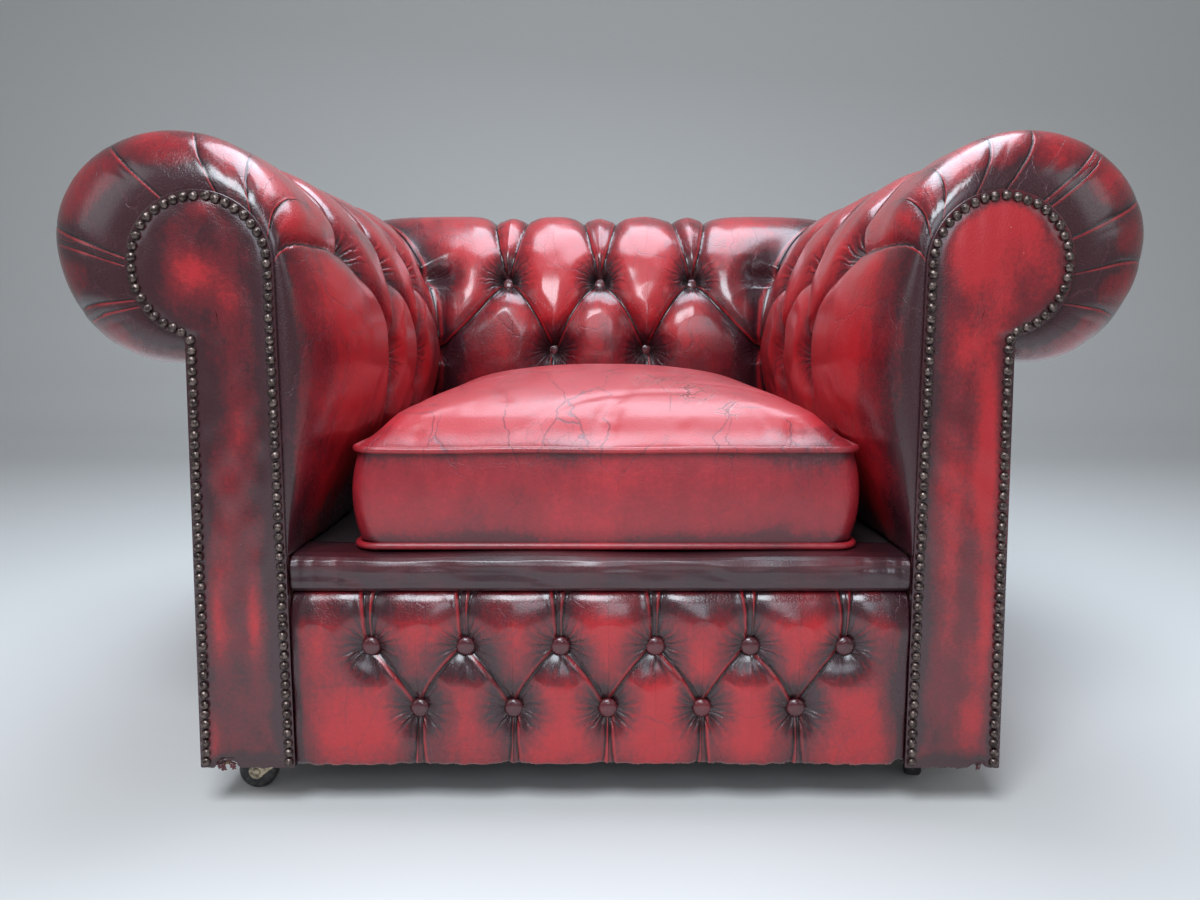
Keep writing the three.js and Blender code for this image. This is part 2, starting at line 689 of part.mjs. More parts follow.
{
  const half = FACING_INNER - FIT;
  const upper = [-2.5, -1.5, -0.5, 0.5, 1.5, 2.5].map((i) => BORDER_SHIFT + i * BORDER_PITCH);
  const lower = [-2, -1, 0, 1, 2].map((i) => BORDER_SHIFT + i * BORDER_PITCH);
  const net = {
    buttons: [...upper.map((x) => [x, BORDER_UPPER_Z]), ...lower.map((x) => [x, BORDER_LOWER_Z])],
    pleats: [
      ...upper.map((x) => [x, BORDER_UPPER_Z, x, BORDER_TOP]),
      ...lower.map((x) => [x, BORDER_LOWER_Z, x, PANEL_FOOT]),
      ...lower.flatMap((x) => [-0.5, 0.5].map((i) => (
        [x, BORDER_LOWER_Z, x + i * BORDER_PITCH, BORDER_UPPER_Z]
      ))),
    ],
  };
  const gap = (BORDER_UPPER_Z - BORDER_LOWER_Z) / BORDER_ROWS_BETWEEN_BUTTONS;
  const heights = [PANEL_FOOT, PANEL_FOOT + BORDER_FOOT_ROUND, BORDER_LOWER_Z - gap];
  for (let i = 0; i <= BORDER_ROWS_BETWEEN_BUTTONS + 1; i += 1) heights.push(BORDER_LOWER_Z + i * gap);
  heights.push(BORDER_TOP - FIT);
  const step = BORDER_PITCH / BORDER_COLUMNS_PER_PITCH;
  const xs = [-half];
  const first = Math.ceil((-half - BORDER_SHIFT) / step + 0.4);
  for (let i = first; BORDER_SHIFT + i * step < half - step * 0.4; i += 1) xs.push(BORDER_SHIFT + i * step);
  xs.push(half);
  const rings = [];
  const sinks = [];
  for (const x of xs) {
    const sink = heights.map((z) => sinkAt(x, z, net, BORDER_WELL_SINK, BORDER_WELL_SPREAD,
      BORDER_PLEAT_SINK, BORDER_PLEAT_SPREAD));
    const ring = heights.map((z, i) => {
      const turned = i === 0 || i === heights.length - 1 ? BORDER_TURN : 0;
      return new THREE.Vector3(x, BORDER_FRONT + Math.min(BORDER_DEEPEST, sink[i] + turned), z);
    });
    for (const z of [BORDER_TOP - FIT, PANEL_FOOT]) ring.push(new THREE.Vector3(x, BORDER_BACK, z));
    rings.push(ring);
    sinks.push([...sink, 0, 0]);
  }
  const flat = (ring) => ring.map((p) => new THREE.Vector2(p.y, p.z));
  let solid = toSolid(loft(rings, { ends: [flat(rings[0]), flat(rings.at(-1))], sink: sinks }));
  const front = new THREE.Vector3(0, -1, 0);
  for (const [x, z] of net.buttons) {
    const y = BORDER_FRONT + BORDER_PLEAT_SINK + BORDER_WELL_SINK - 1;
    solid = solid.add(buttonSolid(BORDER_BUTTON_R, new THREE.Vector3(x, y, z), front));
  }
  add('front_border', fromSolid(solid), oxblood);
}

// Seat lip: a plain stuffed roll along the front edge of the seat, with a shallow wave in its face

{
  const half = FACING_INNER - FIT;
  const foot = BORDER_TOP;
  const high = SEAT_Z - foot;
  const steps = 2 * LIP_WAVES;
  const xs = Array.from({ length: steps + 1 }, (_, i) => mix(-half, half, i / steps));
  const face = [[0.12, 0.02], [0.02, 0.3], [0, 0.55], [0.05, 0.82], [0.16, 0.97], [0.35, 1]];
  const profile = [[1, 0], ...face, [1, 1]];
  const rings = xs.map((x, i) => profile.map(([u, w], k) => {
    const wave = k > 1 && k < 5 ? LIP_WAVE * (1 - Math.cos(Math.PI * i)) / 2 : 0;
    return new THREE.Vector3(x, LIP_FRONT + wave + u * LIP_DEPTH, foot + w * high);
  }));
  const flat = rings[0].map((p) => new THREE.Vector2(p.y, p.z));
  const flatEnd = rings.at(-1).map((p) => new THREE.Vector2(p.y, p.z));
  add('seat_lip', loft(rings, { ends: [flat, flatEnd] }), darkLeather);
}

// Seat cushion: a boxed case with a crowned top, grooved where the two pipings lie

function cushionLoop(inset, z) {
  const halfX = CUSHION_HALF - inset;
  const halfY = CUSHION_DEPTH / 2 - inset;
  const r = Math.min(CUSHION_CORNER + 0.45 * Math.max(0, inset - PIPING_R), 0.96 * halfX);
  const middleY = CUSHION_FRONT + CUSHION_DEPTH / 2;
  const points = [];
  const corners = [[1, 1], [-1, 1], [-1, -1], [1, -1]];
  corners.forEach(([sx, sy], quarter) => {
    for (let i = 0; i <= CUSHION_CORNER_STEPS; i += 1) {
      const angle = (quarter + i / CUSHION_CORNER_STEPS) * Math.PI / 2;
      const x = CUSHION_SHIFT + sx * (halfX - r) + r * Math.cos(angle);
      points.push(new THREE.Vector3(x, middleY + sy * (halfY - r) + r * Math.sin(angle), z));
    }
    const onSide = quarter % 2 === 1;
    const [midX, midY] = onSide ? [sx * halfX, 0] : [0, sy * halfY];
    points.push(new THREE.Vector3(CUSHION_SHIFT + midX, middleY + midY, z));
  });
  return points;
}

{
  const bottom = SEAT_Z + FIT;
  const groove = PIPING_R + 2 * FIT;
  const low = bottom + PIPING_R;
  const high = bottom + CUSHION_BOX;
  const shoulder = high + CUSHION_SHOULDER;
  const shoulderIn = groove + CUSHION_SHOULDER_IN;
  const levels = [
    [groove + CUSHION_FOOT_TURN, bottom],
    [groove, low],
    [0, low + CUSHION_BOX_TURN],
    [-CUSHION_SWELL, (low + high) / 2],
    [0, high - CUSHION_BOX_TURN],
    [groove, high],
    [shoulderIn, shoulder],
  ];
  const rise = high + CUSHION_CROWN - shoulder;
  for (const t of [0.25, 0.5, 0.75, 1]) {
    const inset = mix(shoulderIn, CUSHION_HALF - CUSHION_TOP_FLAT, t);
    levels.push([inset, shoulder + rise * Math.sin(t * Math.PI / 2)]);
  }
  const rings = levels.map(([inset, z]) => cushionLoop(inset, z));
  const flat = (ring) => ring.map((p) => new THREE.Vector2(p.x, p.y));
  add('seat_cushion', loft(rings, { ends: [flat(rings[0]), flat(rings.at(-1))] }), brightLeather);
  const cord = [[PIPING_R / 2, -PIPING_R], [PIPING_R / 2, PIPING_R], [-PIPING_R, 0]];
  for (const [name, z] of [['cushion_piping_top', high], ['cushion_piping_bottom', low]]) {
    const path = flat(cushionLoop(0, z));
    add(name, sweep(path, () => cord, (x, y, up) => new THREE.Vector3(x, y, z + up), true), darkLeather);
  }
}

// Hardwood frame

const SIDE_RAIL_OUT = outerEdge(0, PANEL_TOP) - PANEL_THICK - FIT;
const SIDE_RAIL_IN = SIDE_RAIL_OUT - SIDE_RAIL_THICK;
const FRAME_BACK = backEdge(PANEL_TOP) - PANEL_THICK - FIT;
const BACK_RAIL_FRONT = FRAME_BACK - BACK_RAIL_THICK;
const POST_INNER = FACING_INNER + BOARD_INSET + FIT;
const RAIL_BACK = RAIL_FRONT + RAIL_THICK;
const ROLL_CORE = facingFrame(0).headX;
const TOP_RAIL_LOW = HEAD_Z - TOP_RAIL / 2;
const TOP_RAIL_BACK = INNER_DEPTH + ROLL_CORE - INNER_HALF + TOP_RAIL / 2;
const TACK_TOP = SEAT_Z;
const TACK_LOW = TACK_TOP - TACK_RAIL_HIGH;
const ARM_TACK_IN = POST_INNER - TACK_RAIL_SET;
const BACK_TACK_FRONT = INNER_DEPTH + POST_INNER - INNER_HALF;

const frontRailEnd = POST_INNER - FIT;
add('front_rail', block([-frontRailEnd, RAIL_FRONT, UNDERSIDE],
  [frontRailEnd, RAIL_BACK, BORDER_TOP - FIT]), beech);
const backRailEnd = SIDE_RAIL_IN - FIT;
add('back_rail', block([-backRailEnd, BACK_RAIL_FRONT, UNDERSIDE],
  [backRailEnd, FRAME_BACK, RAIL_TOP]), beech);

for (const [label, side] of [['left', -1], ['right', 1]]) {
  const sided = (x1, x2, y1, y2, z1, z2) => {
    const [low, high] = side > 0 ? [x1, x2] : [-x2, -x1];
    return block([low, y1, z1], [high, y2, z2]);
  };
  const behindPost = BOARD_BACK + FIT;
  add(`side_rail_${label}`, sided(SIDE_RAIL_IN, SIDE_RAIL_OUT, behindPost, FRAME_BACK,
    UNDERSIDE, RAIL_TOP), beech);
  add(`arm_top_rail_${label}`, sided(ROLL_CORE - TOP_RAIL / 2, ROLL_CORE + TOP_RAIL / 2, behindPost,
    TOP_RAIL_BACK, TOP_RAIL_LOW, TOP_RAIL_LOW + TOP_RAIL), beech);
  add(`arm_tack_rail_${label}`, sided(ARM_TACK_IN, ARM_TACK_IN + TACK_RAIL_WIDE, behindPost,
    BACK_TACK_FRONT + TACK_RAIL_WIDE, TACK_LOW, TACK_TOP), beech);
  add(`front_corner_block_${label}`, sided(POST_INNER, SIDE_RAIL_IN - FIT, behindPost,
    behindPost + BLOCK_DEPTH, UNDERSIDE, UNDERSIDE + BLOCK_HIGH), beech);
  add(`back_corner_block_${label}`, sided(POST_INNER, SIDE_RAIL_IN - FIT, BACK_RAIL_FRONT - FIT - BLOCK_DEPTH,
    BACK_RAIL_FRONT - FIT, UNDERSIDE, UNDERSIDE + BLOCK_HIGH), beech);
  const postFront = BACK_TACK_FRONT + TACK_RAIL_WIDE + FIT;
  const postOut = INNER_HALF + BACK_POST_OUT;
  add(`back_post_${label}`, sided(postOut - BACK_POST_WIDE, postOut, postFront, postFront + BACK_POST_THICK,
    RAIL_TOP + FIT, TOP_RAIL_LOW - FIT), beech);
}

const topRailEnd = ROLL_CORE - TOP_RAIL / 2 - FIT;
add('back_top_rail', block([-topRailEnd, TOP_RAIL_BACK - TOP_RAIL, TOP_RAIL_LOW],
  [topRailEnd, TOP_RAIL_BACK, TOP_RAIL_LOW + TOP_RAIL]), beech);
const tackEnd = ARM_TACK_IN - FIT;
add('back_tack_rail', block([-tackEnd, BACK_TACK_FRONT, TACK_LOW],
  [tackEnd, BACK_TACK_FRONT + TACK_RAIL_WIDE, TACK_TOP]), beech);

// Seat deck, springs and dust cover

const lipBack = LIP_FRONT + LIP_DEPTH;
add('seat_platform', block([-tackEnd, lipBack + FIT + LIP_WAVE, SEAT_Z - DECK_THICK],
  [tackEnd, BACK_TACK_FRONT - FIT, SEAT_Z]), darkLeather);

for (let n = 0; n < SPRING_COUNT; n += 1) {
  const middle = (n - (SPRING_COUNT - 1) / 2) * SPRING_SPACING;
  const from = RAIL_BACK + FIT;
  const to = BACK_RAIL_FRONT + SPRING_LAP;
  const points = [new THREE.Vector2(middle, from)];
  for (let i = 0; i < SPRING_RUNGS; i += 1) {
    const y = mix(from, to, (i + 1) / (SPRING_RUNGS + 1));
    const x = i % 2 === 0 ? SPRING_HALF : -SPRING_HALF;
    const before = points.at(-1).x;
    if (i > 0) points.push(new THREE.Vector2(before, y));
    else points.push(new THREE.Vector2(middle, y));
    points.push(new THREE.Vector2(middle + x, y));
  }
  points.push(new THREE.Vector2(middle + (SPRING_RUNGS % 2 ? SPRING_HALF : -SPRING_HALF), to));
  const wire = [[SPRING_R, -SPRING_R * 0.6], [0, SPRING_R], [-SPRING_R, -SPRING_R * 0.6]];
  const spring = sweep(points, () => wire, (x, y, rise) => new THREE.Vector3(x, y, SPRING_Z + rise), false);
  add(`seat_spring_${n + 1}`, spring, steel);
}

const dustTop = UNDERSIDE - FIT;
add('dust_cover', block([-SIDE_RAIL_OUT, RAIL_FRONT + FIT, dustTop - DUST_THICK],
  [SIDE_RAIL_OUT, FRAME_BACK, dustTop]), cloth);

// Castors: a plate with its kingpin, a raked fork that swivels on it, a wheel and its riveted axle

const PLATE_TOP = dustTop - DUST_THICK - FIT;
const PLATE_LOW = PLATE_TOP - PLATE_THICK;
const CROWN_TOP = PLATE_LOW - FIT;
const wheelCorner = WHEEL_R / Math.cos(Math.PI / WHEEL_SIDES);
const roundHole = (r) => (r + FIT) / Math.cos(Math.PI / PIN_SIDES);
const cheekIn = WHEEL_WIDE / 2 + HUB_PROUD + FIT;
const cheekOut = cheekIn + CHEEK_THICK;

function lathe(pairs, sides) {
  return new THREE.LatheGeometry(pairs.map(([r, z]) => new THREE.Vector2(r, z)), sides);
}
const upright = (geometry) => geometry.rotateX(Math.PI / 2);

function plateGeometry() {
  const pinFoot = CROWN_FOOT - FIT - KINGPIN_HEAD;
  const headTop = pinFoot + KINGPIN_HEAD;
  const pinTop = PLATE_LOW + PLATE_THICK / 2;
  const pin = upright(lathe([[0, pinFoot], [KINGPIN_HEAD_R, pinFoot], [KINGPIN_HEAD_R, headTop],
    [KINGPIN_R, headTop], [KINGPIN_R, pinTop], [0, pinTop]], PIN_SIDES));
  const half = PLATE_SIDE / 2;
  const plate = block([-half, -half, PLATE_LOW], [half, half, PLATE_TOP]);
  return fromSolid(toSolid(plate).add(toSolid(pin)));
}

function forkGeometry() {
  const crown = toSolid(upright(lathe([[0, CROWN_FOOT], [CROWN_R, CROWN_FOOT], [CROWN_R, CROWN_TOP],
    [0, CROWN_TOP]], CROWN_SIDES)));
  const pinRoom = roundHole(KINGPIN_R);
  const bore = upright(lathe([[0, 0], [pinRoom, 0], [pinRoom, PLATE_TOP], [0, PLATE_TOP]], PIN_SIDES));
  const outline = new THREE.Shape();
  outline.moveTo(-CROWN_R * 0.6, CROWN_FOOT);
  outline.lineTo(CASTOR_OFFSET - CHEEK_END_R * 0.9, WHEEL_R - CHEEK_END_R * 0.45);
  outline.absarc(CASTOR_OFFSET, WHEEL_R, CHEEK_END_R, radians(207), radians(405), false);
  outline.lineTo(CROWN_R * 0.9, CROWN_TOP);
  outline.lineTo(-CROWN_R * 0.6, CROWN_TOP);
  const hole = new THREE.Path();
  hole.absarc(CASTOR_OFFSET, WHEEL_R, roundHole(AXLE_R), 0, Math.PI * 2, true);
  outline.holes.push(hole);
  let fork = crown;
  for (const y of [-cheekOut, cheekIn]) {
    const flatCheek = { depth: CHEEK_THICK, bevelEnabled: false, curveSegments: PIN_SIDES / 2 };
    const cheek = new THREE.ExtrudeGeometry(outline, flatCheek);
    cheek.rotateX(Math.PI / 2).translate(0, y + CHEEK_THICK, 0);
    fork = fork.add(toSolid(cheek));
  }
  return fromSolid(fork.subtract(toSolid(bore)));
}

function wheelGeometry() {
  const half = WHEEL_WIDE / 2;
  const bevel = wheelCorner - WHEEL_BEVEL;
  const bore = AXLE_R + FIT;
  const hub = half + HUB_PROUD;
  return lathe([[bore, -hub], [bevel, -half], [wheelCorner, -half + WHEEL_BEVEL],
    [wheelCorner, half - WHEEL_BEVEL], [bevel, half], [bore, hub], [bore, -hub]], WHEEL_SIDES);
}

function axleGeometry() {
  const end = cheekOut + FIT;
  const out = end + RIVET_THICK;
  return lathe([[0, -out], [RIVET_R, -end], [AXLE_R, -end], [AXLE_R, end], [RIVET_R, end],
    [0, out]], PIN_SIDES);
}

for (const [corner, turn] of Object.entries(CASTOR_TURN)) {
  const castor = new THREE.Group();
  const y = corner.startsWith('front') ? CASTOR_FRONT_Y : CASTOR_BACK_Y;
  castor.position.set(corner.endsWith('left') ? -CASTOR_X : CASTOR_X, y, 0);
  chair.add(castor);
  add(`castor_plate_${corner}`, plateGeometry(), plated, castor);
  const swivel = new THREE.Group();
  swivel.rotation.z = radians(turn);
  castor.add(swivel);
  add(`castor_fork_${corner}`, forkGeometry(), plated, swivel);
  const wheel = add(`castor_wheel_${corner}`, wheelGeometry(), rubber, swivel);
  wheel.position.set(CASTOR_OFFSET, 0, WHEEL_R);
  wheel.rotation.y = Math.PI / WHEEL_SIDES;
  const axle = add(`castor_axle_${corner}`, axleGeometry(), steel, swivel);
  axle.position.copy(wheel.position);
}

// The origin goes to the floor under the middle of the whole chair
chair.position.y = -(INNER_DEPTH + ROLL_REACH - FIT - NAIL_HEIGHT) / 2;

export default chair;
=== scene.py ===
"""Worn club chair in antiqued oxblood leather: its look, piece by piece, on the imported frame.

Metres, +Z up, the front faces -Y. The facing plane is the flat front of both arms.
"""

import math

import bmesh
import bpy
import numpy as np
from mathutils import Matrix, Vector


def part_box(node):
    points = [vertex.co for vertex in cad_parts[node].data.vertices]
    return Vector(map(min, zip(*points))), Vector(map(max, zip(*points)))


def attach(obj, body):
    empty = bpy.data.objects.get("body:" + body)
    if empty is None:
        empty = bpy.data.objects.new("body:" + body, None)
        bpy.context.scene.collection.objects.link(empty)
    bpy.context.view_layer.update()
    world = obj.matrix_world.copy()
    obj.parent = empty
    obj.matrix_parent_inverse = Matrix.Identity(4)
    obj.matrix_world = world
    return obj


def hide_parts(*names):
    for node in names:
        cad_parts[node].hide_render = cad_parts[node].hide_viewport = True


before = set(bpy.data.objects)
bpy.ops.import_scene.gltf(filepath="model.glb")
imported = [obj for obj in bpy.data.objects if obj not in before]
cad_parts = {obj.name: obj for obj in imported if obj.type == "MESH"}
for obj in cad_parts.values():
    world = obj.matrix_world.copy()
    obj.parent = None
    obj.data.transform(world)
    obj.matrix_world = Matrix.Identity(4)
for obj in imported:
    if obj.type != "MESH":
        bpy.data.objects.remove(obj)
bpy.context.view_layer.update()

# Camera, light and floor
# A low camera straight in front of the seat, tipped down a little. A plain pale floor that
# turns up into a wall. Soft lamps stand overhead, in front, behind and, weaker, at both sides.


def put(tree, kind, inputs=None, **settings):
    """New shader node of this kind; inputs are values or sockets, by name or number."""
    made = tree.nodes.new("ShaderNode" + kind)
    for key, value in settings.items():
        setattr(made, key, value)
    for key, value in (inputs or {}).items():
        if isinstance(value, bpy.types.NodeSocket):
            tree.links.new(value, made.inputs[key])
        else:
            made.inputs[key].default_value = value
    return made


camera_data = bpy.data.cameras.new("camera")
camera_data.lens = 28.2
camera_data.sensor_width = 36.0
camera = bpy.data.objects.new("camera", camera_data)
bpy.context.scene.collection.objects.link(camera)
camera.location = (0.0, -1.3561, 0.4875)
camera.rotation_euler = (math.radians(82.6), 0.0, 0.0)
bpy.context.scene.camera = camera
bpy.context.scene.view_settings.view_transform = "Standard"

for lamp_name, place, aim, width, power, lamp_colour in (
    ("lamp_top", (-0.35, -1.75, 2.1), (0.0, -0.3, 0.35), 0.95, 46.0, (0.84, 0.92, 1.0)),
    ("lamp_front", (0.3, -3.0, 1.5), (0.0, -0.2, 0.5), 0.9, 11.0, (0.80, 0.89, 1.0)),
    ("lamp_behind", (0.15, 0.30, 2.25), (0.0, -0.1, 0.4), 1.4, 43.0, (0.76, 0.87, 1.0)),
    ("lamp_left", (-2.4, -1.7, 1.6), (0.0, -0.3, 0.4), 1.3, 7.0, (0.90, 0.95, 1.0)),
    ("lamp_right", (2.5, -1.9, 1.7), (0.0, -0.3, 0.4), 1.3, 7.0, (0.92, 0.96, 1.0)),
):
    lamp_data = bpy.data.lights.new(lamp_name, "AREA")
    lamp_data.shape = "SQUARE"
    lamp_data.size = width
    lamp_data.energy = power
    lamp_data.color = lamp_colour
    lamp = bpy.data.objects.new(lamp_name, lamp_data)
    bpy.context.scene.collection.objects.link(lamp)
    lamp.location = place
    lamp.rotation_mode = "QUATERNION"
    lamp.rotation_quaternion = (Vector(aim) - Vector(place)).to_track_quat("-Z", "Y")

world = bpy.data.worlds.new("studio")
bpy.context.scene.world = world
world.use_nodes = True
world.node_tree.nodes.clear()
# The camera and, a little, the reflections see it brighter than the light that it gives
path = put(world.node_tree, "LightPath")
seen = put(world.node_tree, "Math", {0: path.outputs["Is Camera Ray"], 1: 0.74}, operation="MULTIPLY")
gloss = put(world.node_tree, "Math", {0: path.outputs["Is Glossy Ray"], 1: 0.02}, operation="MULTIPLY")
both = put(world.node_tree, "Math", {0: seen.outputs[0], 1: gloss.outputs[0]}, operation="ADD")
strength = put(world.node_tree, "Math", {0: both.outputs[0], 1: 0.20}, operation="ADD")
sky = put(world.node_tree, "Background", {"Color": (0.93, 0.96, 1.0, 1.0), "Strength": strength.outputs[0]})
put(world.node_tree, "OutputWorld", {"Surface": sky.outputs[0]})


def grid_faces(rows, columns, close_rows=False, close_columns=False):
    """Four-sided faces of a grid whose point (r, c) has the number r * columns + c."""
    r = np.arange(rows if close_rows else rows - 1)
    c = np.arange(columns if close_columns else columns - 1)
    r, c = np.meshgrid(r, c, indexing="ij")
    r2, c2 = (r + 1) % rows, (c + 1) % columns
    return np.stack([r * columns + c, r * columns + c2, r2 * columns + c2, r2 * columns + c], -1).reshape(-1, 4)


def capped_faces(rows, columns):
    """Faces of a closed band of rows, each a ring of columns points, with its first and last ring
    closed by one flat face each."""
    last = (rows - 1) * columns
    faces = grid_faces(rows, columns, close_columns=True).tolist()
    return faces + [list(range(columns - 1, -1, -1)), list(range(last, last + columns))]


def set_values(mesh, values):
    """Writes named numbers, or rows of three, to the mesh's points."""
    for key, value in values.items():
        if value.ndim == 1:
            mesh.attributes.new(key, "FLOAT", "POINT").data.foreach_set("value", value.astype(np.float32))
        else:
            flat = value.astype(np.float32).ravel()
            mesh.attributes.new(key, "FLOAT_VECTOR", "POINT").data.foreach_set("vector", flat)


def add_piece(name, points, faces, material=None, outwards=True, values=None):
    """Mesh object at the origin from points and faces. A closed one is turned so that its volume
    is positive, which makes its faces point outwards. values are named numbers at the points."""
    points = np.asarray(points, float).reshape(-1, 3)
    mesh = bpy.data.meshes.new(name)
    mesh.from_pydata(points, [], faces if isinstance(faces, list) else faces.tolist())
    set_values(mesh, values or {})
    if outwards:
        shape = bmesh.new()
        shape.from_mesh(mesh)
        if shape.calc_volume(signed=True) < 0:
            bmesh.ops.reverse_faces(shape, faces=shape.faces)
        shape.to_mesh(mesh)
        shape.free()
    mesh.polygons.foreach_set("use_smooth", np.ones(len(mesh.polygons), bool))
    piece = bpy.data.objects.new(name, mesh)
    bpy.context.scene.collection.objects.link(piece)
    if material:
        mesh.materials.append(material)
    return piece


floor_line = np.array([(-3.0, 0.0), (2.2, 0.0), (2.6, 0.05), (2.9, 0.25), (3.0, 0.6), (3.0, 3.5)])
floor_x = np.array([-5.0, 5.0])
floor_points = np.stack([np.broadcast_to(floor_x[:, None], (2, 6)), np.broadcast_to(floor_line[:, 0], (2, 6)),
                         np.broadcast_to(floor_line[:, 1], (2, 6))], -1)
floor = add_piece("floor", floor_points, grid_faces(2, 6), outwards=False)
floor_finish = bpy.data.materials.new("pale_floor")
floor_finish.use_nodes = True
floor_shader = floor_finish.node_tree.nodes["Principled BSDF"]
floor_shader.inputs["Base Color"].default_value = (0.72, 0.715, 0.70, 1.0)
floor_shader.inputs["Roughness"].default_value = 0.75
floor.data.materials.append(floor_finish)

# Hardwood frame
# Rails, posts, scroll boards and corner blocks of planed beech, glued and screwed. Little of it
# shows under the covers. The grain runs along X, Y or Z with each piece.


def start_finish(name, metallic=0.0, roughness=0.5, specular=0.5):
    """Material with a bare shader; gives back the material, its tree, the shader and the place."""
    material = bpy.data.materials.new(name)
    material.use_nodes = True
    tree = material.node_tree
    shader = tree.nodes["Principled BSDF"]
    shader.inputs["Metallic"].default_value = metallic
    shader.inputs["Roughness"].default_value = roughness
    shader.inputs["Specular IOR Level"].default_value = specular
    place = put(tree, "TexCoord").outputs["Object"]
    return material, tree, shader, place


def calc(tree, operation, a, b=0.0, c=0.0):
    """Output of one sum; a, b and c are numbers or sockets."""
    return put(tree, "Math", {0: a, 1: b, 2: c}, operation=operation).outputs[0]


def times(tree, a, b):
    """Output of a times b."""
    return calc(tree, "MULTIPLY", a, b)


def scaled(tree, a, b, c):
    """Output of a times b, plus c."""
    return calc(tree, "MULTIPLY_ADD", a, b, c)


def step_up(tree, value, low, high, out_low=0.0, out_high=1.0):
    """Smooth step of value from out_low at low to out_high at high."""
    return put(tree, "MapRange", {"Value": value, "From Min": low, "From Max": high, "To Min": out_low,
                                  "To Max": out_high}, interpolation_type="SMOOTHSTEP").outputs[0]


def tint(tree, amount, a, b):
    """Colour a turned towards b by amount."""
    return put(tree, "Mix", {0: amount, 6: a, 7: b}, data_type="RGBA").outputs[2]


def noise(tree, place, scale, detail=3.0, roughness=0.55, stretch=None):
    """Soft random pattern from 0 to 1; stretch is the scale on X, Y and Z."""
    if stretch:
        place = put(tree, "Mapping", {"Vector": place, "Scale": stretch}).outputs[0]
    return put(tree, "TexNoise", {"Vector": place, "Scale": scale, "Detail": detail,
                                  "Roughness": roughness}).outputs[0]


def bumped(tree, shader, height, distance, strength=1.0):
    """Gives the shader a relief of height times distance metres."""
    made = put(tree, "Bump", {"Height": height, "Distance": distance, "Strength": strength})
    tree.links.new(made.outputs[0], shader.inputs["Normal"])


def wood_finish(name, stretch):
    """Beech: long pale and darker bands along the grain, with short dark flecks."""
    material, tree, shader, place = start_finish(name, roughness=0.62)
    bands = noise(tree, place, 9.0, 5.0, 0.6, stretch)
    flecks = noise(tree, place, 120.0, 2.0, 0.5, stretch)
    colour = tint(tree, bands, (0.42, 0.24, 0.115, 1.0), (0.66, 0.44, 0.25, 1.0))
    colour = tint(tree, step_up(tree, flecks, 0.58, 0.7), colour, (0.3, 0.15, 0.07, 1.0))
    tree.links.new(colour, shader.inputs["Base Color"])
    bumped(tree, shader, flecks, 0.0004)
    return material


wood_x = wood_finish("beech_along_x", (0.08, 1.0, 1.0))
wood_y = wood_finish("beech_along_y", (1.0, 0.08, 1.0))
wood_z = wood_finish("beech_along_z", (1.0, 1.0, 0.08))


def finish_node(node, material):
    """The CAD node keeps its own shape and takes this material."""
    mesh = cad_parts[node].data
    mesh.materials.clear()
    mesh.materials.append(material)


for wooden in ("front_rail", "back_rail", "back_top_rail", "back_tack_rail"):
    finish_node(wooden, wood_x)
for hand in ("left", "right"):
    for wooden in ("side_rail_", "arm_top_rail_", "arm_tack_rail_", "front_corner_block_", "back_corner_block_"):
        finish_node(wooden + hand, wood_y)
    for wooden in ("arm_post_", "back_post_"):
        finish_node(wooden + hand, wood_z)

# Seat springs and covers
# Four zigzag springs of drawn steel wire between the rails, a deck of felt and dark lining on
# them, and a thin black dust cloth stapled under the frame.

steel, tree, shader, place = start_finish("spring_wire", metallic=1.0, roughness=0.42)
wire_rust = step_up(tree, noise(tree, place, 45.0, 4.0), 0.52, 0.68)
tree.links.new(tint(tree, wire_rust, (0.42, 0.42, 0.44, 1.0), (0.2, 0.12, 0.08, 1.0)), shader.inputs["Base Color"])
bumped(tree, shader, noise(tree, place, 400.0), 0.0002)
for spring in range(1, 5):
    finish_node(f"seat_spring_{spring}", steel)


def cloth_finish(name, colour, pitch):
    """Plain woven cloth: threads over and under at this pitch, in metres, with soft soiling."""
    material, tree, shader, place = start_finish(name, roughness=0.9, specular=0.2)
    turns = 2 * math.pi / pitch
    axes = put(tree, "SeparateXYZ", {0: place})
    over = calc(tree, "SINE", times(tree, axes.outputs[0], turns))
    under = calc(tree, "SINE", times(tree, axes.outputs[1], turns))
    weave = times(tree, over, under)
    soil = noise(tree, place, 14.0, 4.0)
    dark = tuple(0.55 * part for part in colour[:3]) + (1.0,)
    shade = tint(tree, soil, dark, colour)
    tree.links.new(shade, shader.inputs["Base Color"])
    bumped(tree, shader, weave, 0.0003, 0.6)
    return material


dust_cloth = cloth_finish("black_dust_cloth", (0.035, 0.034, 0.036, 1.0), 0.0016)
deck_cloth = cloth_finish("dark_deck_cloth", (0.026, 0.014, 0.015, 1.0), 0.0012)
finish_node("dust_cover", dust_cloth)


def two_faced(rows, columns):
    """Faces of two equal grids, one behind the other, joined round their rim."""
    total = rows * columns
    front = grid_faces(rows, columns)
    rim = np.concatenate([np.arange(0, columns - 1), np.arange(columns - 1, total - 1, columns),
                          np.arange(total - 1, total - columns, -1), np.arange(total - columns, 0, -columns)])
    after = np.roll(rim, -1)
    return np.concatenate([front, front[:, ::-1] + total, np.stack([rim, rim + total, after + total, after], -1)])


deck_low, deck_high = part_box("seat_platform")
deck_count = 60
deck_x, deck_y = np.meshgrid(np.linspace(-1, 1, deck_count), np.linspace(-1, 1, deck_count), indexing="ij")
deck_mid, deck_half = (deck_low + deck_high) / 2, (deck_high - deck_low) / 2
